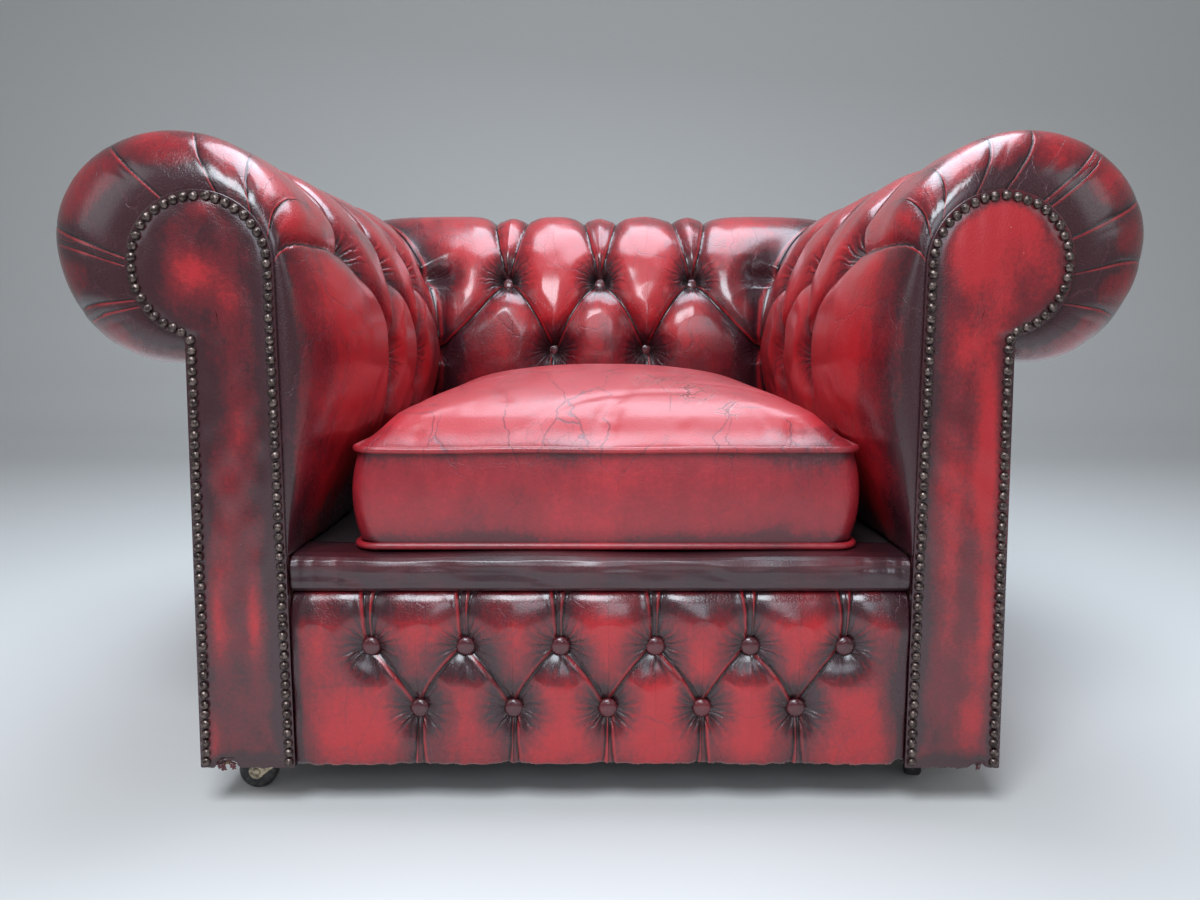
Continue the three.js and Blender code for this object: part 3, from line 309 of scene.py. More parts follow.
# The deck's top and bottom are one grid each, drawn in by 4 mm at the edge as a superellipse
deck_edge = 0.004 * np.maximum(np.abs(deck_x), np.abs(deck_y)) ** 24
deck_lumps = 0.0008 * (1 + np.sin(19 * deck_x) * np.cos(23 * deck_y))
deck_sheets = [np.stack([deck_mid.x + deck_half.x * deck_x, deck_mid.y + deck_half.y * deck_y,
                         deck_mid.z + sign * (deck_half.z - deck_edge - deck_lumps)], -1) for sign in (-1, 1)]
deck = add_piece("seat_deck", deck_sheets, two_faced(deck_count, deck_count), deck_cloth)
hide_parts("seat_platform")
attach(deck, "chair")

# Arm pads
# Leather over wadding on the hardwood frame, pulled down by covered buttons with folded pleats
# between them, rolled over the arm and gathered onto the edge of the nailed facing.

# The facing's plane, then the room inside the pads, as half its width and its depth
FACING_Y = -0.4561
INNER_HALF, INNER_DEPTH = 0.250, 0.625
# The facing: its foot, its straight inner and outer lines, its round head and its hollow neck
FOOT_Z, EDGE_X, OUTER_X = 0.047, 0.308, 0.395
HEAD_X, HEAD_Z, HEAD_R = 0.378, 0.546, 0.070
NECK_X, NECK_Z, NECK_R = 0.405, 0.4707, 0.010
# The pads: their foot, the height where the roll starts, the roll's top and where they start
# behind the facing's plane. The upper buttons stand at this share of the roll's inner quarter.
PAD_FOOT, CREST_Z, ROLL_TOP, PAD_START = 0.2643, 0.450, 0.681, 0.0053
UPPER_T = 32.8 / 90


def facing_edge(inset, stretch, t):
    """Edge of the facing, inset by this much, as X and Z: a straight inner line, a round head
    about its centre, then a hollow neck. t runs from 0 to 1 in each stretch."""
    radius, neck = HEAD_R - inset, NECK_R + inset
    meet = math.atan2(NECK_Z - HEAD_Z, NECK_X - HEAD_X)
    inner = EDGE_X + inset
    if stretch == 0:
        return np.full_like(t, inner), PAD_FOOT + (CREST_Z - PAD_FOOT) * t
    if stretch == 4:
        angle = meet + math.pi + (0 - meet) * t
        return NECK_X + neck * np.cos(angle), NECK_Z + neck * np.sin(angle)
    if stretch == 1:
        over = np.clip((t - UPPER_T) / (1 - UPPER_T), 0, 1)
        angle = math.pi * (1 - over / 2)
        rise = np.where(t < UPPER_T, CREST_Z + (HEAD_Z - CREST_Z) * t / UPPER_T, HEAD_Z + radius * np.sin(angle))
        return HEAD_X + radius * np.cos(angle), rise
    angle = math.pi / 2 * (1 - t) if stretch == 2 else meet * t
    return HEAD_X + radius * np.cos(angle), HEAD_Z + radius * np.sin(angle)


def run_length(points):
    """Distance along a path of points, from 0 at the first."""
    return np.concatenate([[0.0], np.cumsum(np.hypot(*np.diff(points, axis=0).T))])


def pad_section():
    """Section of the pads as a table over v, the length of leather up from the fullest inner line:
    a tucked foot, then four quarter ellipses over the roll, with the facing's edge, the edge of
    the scroll board and the direction into the pad at the same places."""
    table = []
    for stretch in range(5):
        t = np.linspace(0, 1, 61)
        s, c = np.sin(t * math.pi / 2), np.cos(t * math.pi / 2)
        shape = (
            (0.056 * (1 - t) ** 1.4, PAD_FOOT + (CREST_Z - PAD_FOOT) * t),
            (0.170 * (1 - c), CREST_Z + (ROLL_TOP - CREST_Z) * s),
            (0.170 + 0.121 * s, 0.575 + 0.106 * c),
            (0.178 + 0.113 * c, 0.575 - 0.123 * s),
            (0.178 - 0.033 * s, 0.452 + (NECK_Z - 0.452) * (1 - c)),
        )[stretch]
        edge = facing_edge(0.0, stretch, t)
        board = facing_edge(0.0137, stretch, t)
        rows = np.stack([shape[0], shape[1], edge[0] - INNER_HALF, edge[1], board[0] - INNER_HALF, board[1]], -1)
        table.append(rows if stretch == 0 else rows[1:])
    table = np.concatenate(table)
    v = run_length(table[:, :2])
    v -= v[60]
    along = np.gradient(table[:, :2], v, axis=0)
    along /= np.hypot(along[:, 0], along[:, 1])[:, None]
    return v, table, np.stack([along[:, 1], -along[:, 0]], -1)


section_v, section_table, section_in = pad_section()


def at_section(v, table):
    """Each column of a table that belongs to the section's lengths, at v."""
    return np.stack([np.interp(v, section_v, column) for column in table.T], -1)


FOOT_V, END_V, TOP_V = section_v[0], section_v[-1], section_v[120]
UPPER_V = float(np.interp(60 + 60 * UPPER_T, np.arange(len(section_v)), section_v))


def short_lines(points):
    """The stretches of a path, each as its first and its last point in one row."""
    return np.concatenate([points[:-1], points[1:]], -1)


def bowed(a, b, bow=0.0, parts=8):
    """Short lines from a to b, bowed sideways by a share of the length."""
    a, b = np.array(a, float), np.array(b, float)
    t = np.linspace(0, 1, parts + 1)[:, None]
    side = np.array([-(b - a)[1], (b - a)[0]])
    return short_lines(a + (b - a) * t + side * bow * np.sin(math.pi * t))


def plain_values(wear_and_shade):
    """Values for leather with no pleat or button near: only its wear and painted shade at each point."""
    wear_and_shade = np.ravel(wear_and_shade)
    return {"wear_and_shade": wear_and_shade, "pleat": np.full(wear_and_shade.shape, 0.06), "pucker": np.zeros((len(wear_and_shade), 3))}


def smooth(x, low, high):
    """Smooth step from 0 at low to 1 at high."""
    t = np.clip((x - low) / (high - low), 0, 1)
    return t * t * (3 - 2 * t)


def tufted(s, v, buttons, pleats, well, well_spread, fold, fold_spread, reach):
    """Depth of buttoned leather at (s, v): a round well at each button, as two bell curves of the
    distance, and a valley along each pleat, falling off with the distance to its line, which grows
    by fade towards the line's end; a negative power gives a pleat only its painted shadow line,
    without a valley. Also gives the buttons' bell, the signed distance to the nearest pleat and the
    offset from the nearest button."""
    bell = np.zeros_like(s)
    offset = np.zeros(s.shape + (3,))
    nearest = np.full_like(s, 9.0)
    for bs, bv, puckers in buttons:
        away = np.hypot(s - bs, v - bv)
        broad, narrow = np.exp(-(away / well_spread) ** 2), np.exp(-(away / (0.45 * well_spread)) ** 2)
        bell = np.maximum(bell, 0.7 * broad + 0.3 * narrow)
        closer = away < nearest
        nearest = np.where(closer, away, nearest)
        offset[closer, 0] = (s - bs)[closer]
        offset[closer, 1] = (v - bv)[closer]
        offset[closer, 2] = (puckers * np.clip(1 - away / reach, 0, 1) ** 1.5)[closer]
    valley = np.zeros_like(s)
    signed = np.full_like(s, 0.06)
    for lines, power, fade in pleats:
        near = np.full_like(s, 9.0)
        side = np.ones_like(s)
        for part, (s1, v1, s2, v2) in enumerate(lines):
            ds, dv = s2 - s1, v2 - v1
            t = np.clip(((s - s1) * ds + (v - v1) * dv) / (ds * ds + dv * dv), 0, 1)
            es, ev = s - s1 - ds * t, v - v1 - dv * t
            away = np.hypot(es, ev) + fade * ((part + t) / len(lines)) ** 2
            better = away < near
            near = np.where(better, away, near)
            side = np.where(better, np.sign(ds * ev - dv * es), side)
        valley = np.maximum(valley, max(power, 0) * np.exp(-near / fold_spread))
        seen_at = near + 0.004 * (1 - abs(power))
        take = seen_at < np.abs(signed)
        signed = np.where(take, seen_at * side, signed)
    # Where the leather folds over itself, one side of a pleat stands a little higher
    lip = 0.0016 * np.exp(-((signed - 0.005) / 0.004) ** 2) * smooth(valley, 0.05, 0.4)
    return well * bell + fold * valley - lip, bell, signed, offset


def ripple(a, b, seed, waves=9, low=4.0, high=26.0):
    """Sum of slanted sine waves with seeded directions, of about -1 to 1, for uneven leather."""
    maker = np.random.default_rng(seed)
    total = np.zeros(np.broadcast(a, b).shape)
    for _ in range(waves):
        turn, rate, start = maker.uniform(0, math.pi), maker.uniform(low, high), maker.uniform(0, 6.28)
        total += np.sin(2 * math.pi * rate * (a * math.cos(turn) + b * math.sin(turn)) + start)
    return total / math.sqrt(waves) / 1.4


def pad_values(wear_and_shade, signed, offset, hidden):
    """Values of a pad's outside, followed by plain ones for its hidden columns, which are zeros."""
    return {"wear_and_shade": np.concatenate([wear_and_shade, hidden], 1).ravel(),
            "pleat": np.concatenate([signed, hidden + 0.06], 1).ravel(),
            "pucker": np.concatenate([offset, np.zeros(hidden.shape + (3,))], 1).reshape(-1, 3)}


# Wells 27 mm deep and 32 mm wide, folds 15 mm deep and wide, and puckers that reach 55 mm
PAD_TUFTS = (0.027, 0.032, 0.015, 0.015, 0.055)


def pad_mesh(columns, place, net, front=None, seed=1):
    """Closed band of leather and wadding. columns is a table of [s, turn into the corner from 0 to
    1]; place turns (s, turn, reach, z) into a point. The outside has a row about every 3 mm, the
    inside follows the scroll board, and both ends are closed between the two."""
    v = np.concatenate([np.linspace(FOOT_V, 0, 58, endpoint=False),
                        np.linspace(0, TOP_V, 122, endpoint=False), np.linspace(TOP_V, END_V, 165)])
    chunk = 8
    while (len(v) - 1) % chunk:
        v = np.delete(v, len(v) - 3)
    table, inward = at_section(v, section_table), at_section(v, section_in)
    s, vv = np.meshgrid(columns[:, 0], v, indexing="ij")
    depth, bell, signed, offset = tufted(np.abs(s), vv, net["buttons"], net["pleats"], *PAD_TUFTS)
    shape = np.broadcast_to(table[None, :, :2], s.shape + (2,)).copy()
    # The pad is a little fuller between its buttons and never quite even
    depth = depth + 0.0012 * ripple(s, vv, seed) - 0.002 * np.sin(math.pi * smooth(vv, -0.05, UPPER_V))
    away = np.ones_like(s)
    if front is not None:
        # The leather comes up from the facing's edge over 150 mm, and over 60 mm on the roll
        roll = smooth(vv, UPPER_V - 0.03, UPPER_V + 0.03)
        ease = 0.150 + (0.060 - 0.150) * roll
        along = np.clip((s - PAD_START) / ease, 0, 1)
        away = np.sqrt(1 - (1 - along) ** 2)
        edge = np.broadcast_to(table[None, :, 2:4], shape.shape)
        shape = edge + (shape - edge) * away[..., None]
        depth = depth * away + front(s, vv)
    crease = 0.008 * smooth(np.abs(s), net["corner"] - 0.03, net["corner"] + 0.004)
    # The corner pleat: its distance is measured along the leather as it fans out round the corner
    mitre = np.maximum(net["corner"] - np.abs(s), 0)
    mitre = mitre + (1 - np.abs(columns[:, 1][:, None])) * 0.785 * np.maximum(shape[..., 0], 0.012)
    depth = np.maximum(depth, 0.015 * np.exp(-mitre / 0.022))
    signed = np.where(mitre < np.abs(signed), mitre, signed)
    shape = shape + inward[None] * depth[..., None]
    shape[..., 0] = np.maximum(shape[..., 0], crease)
    outer = place(s, columns[:, 1][:, None], shape[..., 0], shape[..., 1])
    inner_rows = np.arange(0, len(v), chunk)
    board = table[inner_rows][:, 4:6]
    si = np.broadcast_to(columns[:, :1], (len(columns), len(inner_rows)))
    inner = place(si, columns[:, 1][:, None], np.broadcast_to(board[:, 0], si.shape),
                  np.broadcast_to(board[:, 1], si.shape))
    ring = np.concatenate([outer, inner[:, ::-1]], 1)
    count, width = ring.shape[1], len(v)
    faces = grid_faces(len(columns), count, close_columns=True).tolist()
    for column in (0, len(columns) - 1):
        start = column * count
        for i in range(len(inner_rows) - 1):
            low = start + count - 1 - i
            cell = [start + k for k in range(i * chunk, (i + 1) * chunk + 1)] + [low - 1, low]
            faces.append(cell if column else cell[::-1])
    hidden = np.zeros((len(columns), len(inner_rows)))
    # Rubbed red on the crowns. Dark wax with painted shade in the folds and round the buttons, painted shade over
    # the outer half of the roll down to its underside, at the foot and in the mitred corner, and darker at the
    # edges
    wear_and_shade = 1.0 - 0.60 * np.exp(-np.abs(signed) / 0.013) - 0.85 * bell
    wear_and_shade -= 0.22 * smooth(vv, TOP_V - 0.06, TOP_V + 0.10) + 0.26 * smooth(vv, TOP_V + 0.08, END_V - 0.08)
    wear_and_shade -= 0.50 * (1 - smooth(vv, FOOT_V, FOOT_V + 0.10)) + 0.45 * np.exp(-mitre / 0.05)
    if front is not None:
        wear_and_shade -= 0.75 * (1 - smooth(s, 0.006, 0.085)) * (1 - roll) + 0.35 * (1 - smooth(s, 0.004, 0.030)) * roll
        # Painted shade on the pad's end, where it meets the facing
        wear_and_shade -= 0.5 * (1 - smooth(s, PAD_START, 0.014))
    return ring.reshape(-1, 3), faces, pad_values(wear_and_shade, signed, offset, hidden)


def corner_turn(reach, angle):
    """Reach turned about the inner corner, squarer than a circle: a superellipse of power 5."""
    c, s = np.cos(angle), np.sin(angle)
    k = (c ** 5 + s ** 5) ** -0.2
    return reach * k * c, reach * k * s


def arm_place(side):
    """For this arm: s is the place behind the facing's plane and reach the way out from the inner
    line; past the inner corner the leather turns by up to 45 degrees."""
    def place(s, turn, reach, z):
        out, back = corner_turn(reach, turn * math.pi / 4)
        y = np.where(turn > 0, INNER_DEPTH - 0.00025 + back * (turn > 0), s)
        return np.stack([side * (INNER_HALF + out), FACING_Y + y, np.broadcast_to(z, y.shape)], -1)
    return place


def flared(s, flare=0.028):
    """The two pleats that leave an upper button, flare apart and run over the roll."""
    lines = []
    for side in (-1, 1):
        bend = np.array([0.0, 0.35, 0.62, 0.84, 1.0])
        points = [(s + side * flare * math.sin(b * math.pi / 2), UPPER_V + (TOP_V - UPPER_V) * b ** 1.1)
                  for b in bend]
        points.append((s + side * flare * 1.05, (TOP_V + END_V) / 2))
        points.append((s + side * flare * 0.9, END_V))
        lines.append((short_lines(np.array(points)), 0.95, 0.0))
    return lines


arm_upper = [0.190, 0.358, 0.526]
arm_lower = [0.274, 0.442]
arm_net = {
    "buttons": [(s, UPPER_V, 1.0) for s in arm_upper] + [(s, 0.0, 0.8) for s in arm_lower]
               + [(0.640, UPPER_V, 0.4), (0.640, 0.0, 0.4)],
    "pleats": [line for s in arm_upper for line in flared(s)]
              + [(bowed((s, 0.0), (s + k * 0.084, UPPER_V), 0.05 * k), 1.0, 0.0)
                 for s in arm_lower for k in (-1, 1)]
              + [(bowed((s, 0.0), (s, FOOT_V), 0.02), 0.9, 0.0) for s in arm_lower]
              + [(bowed((0.526, UPPER_V), (0.640, 0.0), -0.05), 1.0, 0.0),
                 (bowed((0.190, UPPER_V), (PAD_START, UPPER_V + 0.012), 0.05), 0.9, 0.001)],
    "corner": 0.625,
}

# Gathers where the roll is drawn onto the facing: place in degrees round the head from its inner
# side, depth in mm and length back from the nails in mm. Each arm has its own.
arm_gathers = {
    "left": [(24, 4.0, 95), (47, 4.6, 95), (62, 1.4, 40), (76, 3.8, 90), (84, 1.6, 45), (101, 1.4, 40),
             (119, 4.8, 105), (126, 2.6, 60), (150, 1.4, 45), (174, 4.4, 105), (180, 2.8, 70), (196, 1.6, 40),
             (207, 5.0, 110), (213, 3.2, 80), (220, 2.6, 60), (227, 2.4, 50), (234, 2.6, 55), (240, 2.4, 50),
             (246, 2.4, 45)],
    "right": [(22, 4.0, 95), (40, 4.4, 90), (55, 1.6, 45), (70, 3.8, 85), (78, 2.0, 50), (92, 4.0, 90),
              (99, 2.0, 50), (112, 1.6, 45), (124, 4.6, 100), (131, 2.8, 65), (147, 1.6, 45), (160, 4.4, 100),
              (167, 2.4, 60), (186, 4.4, 100), (193, 2.2, 50), (210, 3.6, 70), (218, 2.6, 60), (227, 2.4, 50),
              (236, 2.6, 50), (244, 2.4, 45)],
}
head_v = np.concatenate([[UPPER_V], [section_v[120]], [section_v[180]], [section_v[240]]])
head_angle = np.array([0.0, 90.0, 180.0, 250.0])


def gathers(hand, seed):
    """Creases that start at the nails and fade back over the roll, sharp at the bottom, with finer
    soft ones between; gives the depth function and the creases as pleats for the shading."""
    maker = np.random.default_rng(seed)
    marks = [(np.interp(a, head_angle, head_v), d / 1000, length / 1000) for a, d, length in arm_gathers[hand]]
    fine = [(maker.uniform(UPPER_V, END_V), maker.uniform(0.0003, 0.0008), maker.uniform(0.02, 0.045))
            for _ in range(26)]

    # A crease swings aside as it runs back, each to its own side
    def swing(place, back):
        return 0.012 * np.sin(place * 90) * (back / 0.06) ** 1.5

    def depth(s, v):
        total = np.zeros_like(s)
        back = np.maximum(s - PAD_START, 0)
        start = np.clip(back / 0.010, 0, 1)
        for place, deep, length in marks:
            off = v - place - swing(place, back)
            fading = deep * start * np.exp(-(back / (0.45 * length)) ** 2 * 2.2)
            total += fading * np.exp(-np.abs(off) / (0.0050 + 0.04 * back))
        for place, deep, length in fine:
            fading = deep * start * np.exp(-(back / (0.7 * length)) ** 2 * 2.2)
            total += fading * np.exp(-((v - place) / 0.004) ** 2)
        return total

    # Only the deep ones get a painted shadow line in the leather
    lines = []
    for place, deep, length in [mark for mark in marks if mark[1] > 0.0027]:
        back = np.linspace(0, length * 0.85, 8)
        curve = np.stack([PAD_START + back, place + swing(place, back)], -1)
        lines.append((short_lines(curve), -1.0 if deep > 0.0036 else -0.85, 0.009))
    return depth, lines


def leather_finish(name, dark, middle, bright, roughness=0.36, crackle=0.0, crackle_z=-1.0, worn_bias=0.0,
                   patches=(), coat_roughness=0.2):
    """Antiqued leather. The dark wax and the painted shade stay where the wear-and-shade value is low,
    red shows where it is high, with blotches and streaks between; each pleat has a black line of
    painted shadow with a thin rubbed bright edge beside it, the leather close round each button is
    painted black as the shadow in its well, and fine puckers run out from the buttons, redder on
    their ridges and darker in their hollows. Pebbled grain of about 2 mm, open pores, and creases
    by crackle, a quarter as strong below crackle_z. patches are (place, radius, stretch) of
    cracked, peeling leather."""
    material, tree, shader, place = start_finish(name, roughness=roughness, specular=0.32)
    # Low where the dark wax and the painted shade lie, high where the leather is rubbed red
    wear_and_shade = put(tree, "Attribute", attribute_name="wear_and_shade").outputs["Fac"]
    pleat = put(tree, "Attribute", attribute_name="pleat").outputs["Fac"]
    offset = put(tree, "SeparateXYZ", {0: put(tree, "Attribute", attribute_name="pucker").outputs["Vector"]})
    blotch = noise(tree, place, 8.0, 4.0, 0.6)
    streak = noise(tree, place, 26.0, 5.0, 0.65, (1.0, 1.0, 0.35))
    speck = noise(tree, place, 240.0, 3.0, 0.65)
    # Puckers: sines of the angle round the button, their number whole so that they close
    angle = calc(tree, "ARCTAN2", offset.outputs[1], offset.outputs[0])
    sway = noise(tree, place, 50.0, 2.0)
    first = calc(tree, "SINE", scaled(tree, angle, 19.0, times(tree, sway, 9.0)))
    second = calc(tree, "SINE", scaled(tree, angle, 31.0, times(tree, sway, 14.0)))
    wave = scaled(tree, second, 0.5, first)
    pucker = times(tree, wave, offset.outputs[2])
    level = scaled(tree, calc(tree, "SUBTRACT", blotch, 0.5), 1.5, wear_and_shade)
    level = scaled(tree, calc(tree, "SUBTRACT", streak, 0.5), 0.75, level)
    level = scaled(tree, calc(tree, "SUBTRACT", speck, 0.5), 0.5, level)
    level = scaled(tree, pucker, 0.35, calc(tree, "ADD", level, worn_bias))
    lower = step_up(tree, level, 0.10, 0.52)
    upper = step_up(tree, level, 0.45, 1.05)
    colour = tint(tree, lower, dark, middle)
    colour = tint(tree, upper, colour, bright)
    # The pleat's line of painted shadow and the rubbed edge beside it
    across = calc(tree, "POWER", calc(tree, "DIVIDE", pleat, 0.0013), 2.0)
    line = calc(tree, "EXPONENT", times(tree, across, -1.0))
    beside = calc(tree, "POWER", calc(tree, "DIVIDE", calc(tree, "SUBTRACT", pleat, 0.0034), 0.0016), 2.0)
    edge = calc(tree, "EXPONENT", times(tree, beside, -1.0))
    edge_amount = times(tree, edge, step_up(tree, streak, 0.3, 0.6, 0.1, 0.65))
    colour = tint(tree, edge_amount, colour, (min(1.0, bright[0] * 1.15), bright[1] * 1.5, bright[2] * 1.4, 1.0))
    # Painted shadow: black along each pleat's fold and close round each button, in its well
    black = (0.006, 0.002, 0.003, 1.0)
    colour = tint(tree, times(tree, line, 0.9), colour, black)
    colour = tint(tree, step_up(tree, offset.outputs[2], 0.42, 0.90, 0.0, 0.9), colour, black)
    # Relief: grain of small domes with pores, soft wrinkles, puckers and the pleat's groove
    pebble = put(tree, "TexVoronoi", {"Vector": place, "Scale": 520.0, "Randomness": 0.95}).outputs["Distance"]
    pores = noise(tree, place, 900.0, 2.0)
    wrinkle = noise(tree, place, 46.0, 6.0, 0.62)
    height = times(tree, calc(tree, "SUBTRACT", 1.0, pebble), 0.30)
    height = scaled(tree, pores, 0.10, height)
    height = scaled(tree, wrinkle, 1.1, height)
    height = scaled(tree, pucker, 1.3, height)
    height = scaled(tree, line, -1.6, height)
    height = scaled(tree, edge, 0.5, height)
    rough = scaled(tree, calc(tree, "SUBTRACT", streak, 0.5), 0.22, roughness)
    rough = scaled(tree, upper, 0.18, calc(tree, "SUBTRACT", rough, 0.06))
    # A few pale specks where the finish is chipped
    dots = put(tree, "TexVoronoi", {"Vector": place, "Scale": 38.0}).outputs["Distance"]
    chipped = times(tree, step_up(tree, dots, 0.016, 0.026, 1.0, 0.0), step_up(tree, blotch, 0.5, 0.56))
    colour = tint(tree, times(tree, chipped, 0.5), colour, (0.55, 0.40, 0.38, 1.0))
    if crackle or patches:
        bent = put(tree, "TexNoise", {"Vector": place, "Scale": 9.0, "Detail": 5.0,
                                      "Roughness": 0.6}).outputs["Color"]
        moved = put(tree, "Mix", {0: 0.07, 4: place, 5: bent}, data_type="VECTOR").outputs[1]
    if crackle:
        # Long creases that run front to back, and a fine net between them
        rise = put(tree, "SeparateXYZ", {0: place}).outputs[2]
        amount = times(tree, step_up(tree, rise, crackle_z - 0.03, crackle_z, 0.25, 1.0), crackle)
        for scale, stretch, width, depth, low in ((19.0, (1.0, 0.34, 0.42), 0.018, 1.0, 0.36),
                                                  (62.0, (1.0, 0.55, 1.0), 0.040, 0.45, 0.48)):
            laid = put(tree, "Mapping", {"Vector": moved, "Scale": stretch}).outputs[0]
            cell = put(tree, "TexVoronoi", {"Vector": laid, "Scale": scale}, feature="DISTANCE_TO_EDGE").outputs[0]
            crack = step_up(tree, cell, 0.0, width, 1.0, 0.0)
            where = step_up(tree, noise(tree, place, 10.0, 3.0), low, low + 0.16)
            crack = times(tree, times(tree, crack, where), times(tree, amount, depth))
            colour = tint(tree, times(tree, crack, 0.7), colour, (0.11, 0.02, 0.035, 1.0))
            height = scaled(tree, crack, -0.6, height)
    for centre, radius, stretch in patches:
        off = put(tree, "Mapping", {"Vector": place, "Location": [-c * k for c, k in zip(centre, stretch)],
                                    "Scale": stretch}).outputs[0]
        far = put(tree, "VectorMath", {0: off}, operation="LENGTH").outputs["Value"]
        zone = step_up(tree, far, radius * 0.2, radius, 1.0, 0.0)
        flake = put(tree, "TexVoronoi", {"Vector": moved, "Scale": 66.0}, feature="DISTANCE_TO_EDGE").outputs[0]
        gap = scaled(tree, zone, -0.085, flake)
        open_part = times(tree, step_up(tree, gap, -0.03, 0.0, 1.0, 0.0), step_up(tree, zone, 0.1, 0.3))
        rim = times(tree, step_up(tree, gap, 0.0, 0.05, 1.0, 0.0), step_up(tree, zone, 0.1, 0.3))
        colour = tint(tree, times(tree, rim, 0.45), colour, (0.66, 0.25, 0.25, 1.0))
        colour = tint(tree, open_part, colour, (0.26, 0.016, 0.018, 1.0))
        height = scaled(tree, open_part, -0.8, height)
        rough = scaled(tree, open_part, 0.25, rough)
    tree.links.new(colour, shader.inputs["Base Color"])
    tree.links.new(rough, shader.inputs["Roughness"])
    shader.inputs["Coat Weight"].default_value = 0.95
    shader.inputs["Coat Roughness"].default_value = coat_roughness
    bumped(tree, shader, height, 0.0009)
    return material


pad_leather = leather_finish("pad_leather", (0.040, 0.009, 0.013, 1.0), (0.15, 0.008, 0.013, 1.0),
                             (0.45, 0.010, 0.016, 1.0), roughness=0.34, crackle=0.5)


def button_mesh(places, radius, seed, height=0.5):
    """Covered buttons: a dome of revolution, r = radius * cos and rise = height * radius * sin, with
    a tucked rim and a flat back, one at each place, turned to its direction."""
    maker = np.random.default_rng(seed)
    t = np.array([-0.55, -0.3, 0.0, 0.16, 0.34, 0.52, 0.70, 0.86, 1.0])
    ring_count, around = len(t), 28
    ring_r = np.where(t < 0, 1 - 0.25 * (t / 0.55) ** 2, np.cos(t * math.pi / 2) ** 0.75)
    ring_h = np.where(t < 0, t * 0.9, height * np.sin(t * math.pi / 2))
    angle = np.arange(around) * 2 * math.pi / around
    ring_r[-1] = 0.03
    local = np.stack([ring_r[:, None] * np.cos(angle), ring_r[:, None] * np.sin(angle),
                      np.broadcast_to(ring_h[:, None], (ring_count, around))], -1).reshape(-1, 3) * radius
    centres = np.array([p for p, _ in places])
    normals = np.array([n for _, n in places])
    normals /= np.linalg.norm(normals, axis=1)[:, None]
    normals += maker.normal(0, 0.03, normals.shape)
    normals /= np.linalg.norm(normals, axis=1)[:, None]
    helper = np.where(np.abs(normals[:, 2:3]) > 0.9, [[1.0, 0, 0]], [[0, 0, 1.0]])
    across = np.cross(helper, normals)
    across /= np.linalg.norm(across, axis=1)[:, None]
    up = np.cross(normals, across)
    basis = np.stack([across, up, normals], 1)
    points = np.einsum("pk,nkj->npj", local, basis) + centres[:, None]
    one = capped_faces(ring_count, around)
    faces = [[i + len(local) * n for i in f] for n in range(len(places)) for f in one]
    return points, faces, plain_values(np.full(len(places) * ring_count * around, 0.55))


def pad_button_places(places, net, place, eased=False):
    """Bottom of each well, and the way out of the pad there; an eased pad starts at a facing."""
    found = []
    for s, v in places:
        s1, v1 = np.array([[abs(s)]]), np.array([[v]])
        depth = tufted(s1, v1, net["buttons"], net["pleats"], *PAD_TUFTS)[0][0, 0]
        inward, base = at_section(v, section_in), at_section(v, section_table[:, :2])
        if eased:
            along = min(1.0, (abs(s) - PAD_START) / 0.15)
            away = math.sqrt(1 - (1 - along) ** 2)
            edge = at_section(v, section_table[:, 2:4])
            base = edge + (base - edge) * away
            depth *= away
        inside = base + inward * (depth - 0.003)
        outside = inside - inward
        zero = np.array([[0.0]])
        a = place(np.array([[s]]), zero, np.array([[inside[0]]]), np.array([[inside[1]]]))[0, 0]
        b = place(np.array([[s]]), zero, np.array([[outside[0]]]), np.array([[outside[1]]]))[0, 0]
        found.append((a, b - a))
    return found


button_leather = leather_finish("button_leather", (0.03, 0.008, 0.012, 1.0), (0.075, 0.010, 0.015, 1.0),
                                (0.18, 0.012, 0.018, 1.0), roughness=0.3)

arm_s = np.concatenate([PAD_START + 0.07 * np.linspace(0, 1, 27, endpoint=False) ** 1.35,
                        np.linspace(0.0753, INNER_DEPTH, 158)])
arm_turn = np.linspace(0, 1, 41)[1:]
arm_columns = np.concatenate([np.stack([arm_s, np.zeros_like(arm_s)], -1),
                              np.stack([INNER_DEPTH + 0.015 * arm_turn, arm_turn], -1)])
for hand, side, seed in (("left", -1, 11), ("right", 1, 23)):
    place_arm = arm_place(side)
    fall, creases = gathers(hand, seed)
    net = dict(arm_net, pleats=arm_net["pleats"] + creases)
    points, faces, values = pad_mesh(arm_columns, place_arm, net, fall, seed)
    pad = add_piece(f"arm_upholstery_{hand}", points, faces, pad_leather, values=values)
    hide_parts(f"arm_pad_{hand}")
    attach(pad, "chair")
    spots = [(s, UPPER_V) for s in arm_upper] + [(s, 0.0) for s in arm_lower]
    points, faces, values = button_mesh(pad_button_places(spots, arm_net, place_arm, True), 0.011, seed)
    buttons = add_piece(f"arm_buttons_{hand}", points, faces, button_leather, values=values)
    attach(buttons, "chair")

# Back pad
# The same leather and wadding across the back, with five buttons and their pleats, mitred into
# both arms at the corners.


def back_place(s, turn, reach, z):
    """s is X and reach the way to the rear; past either inner corner the leather turns by up to 45
    degrees, to meet the arm's."""
    out, back = corner_turn(reach, math.pi / 2 - np.abs(turn) * math.pi / 4)
    x = np.where(turn != 0, np.sign(turn) * (INNER_HALF - 0.00025 + out), s)
    y = np.where(turn != 0, back, reach)
    return np.stack([x, FACING_Y + INNER_DEPTH + y, np.broadcast_to(z, x.shape)], -1)


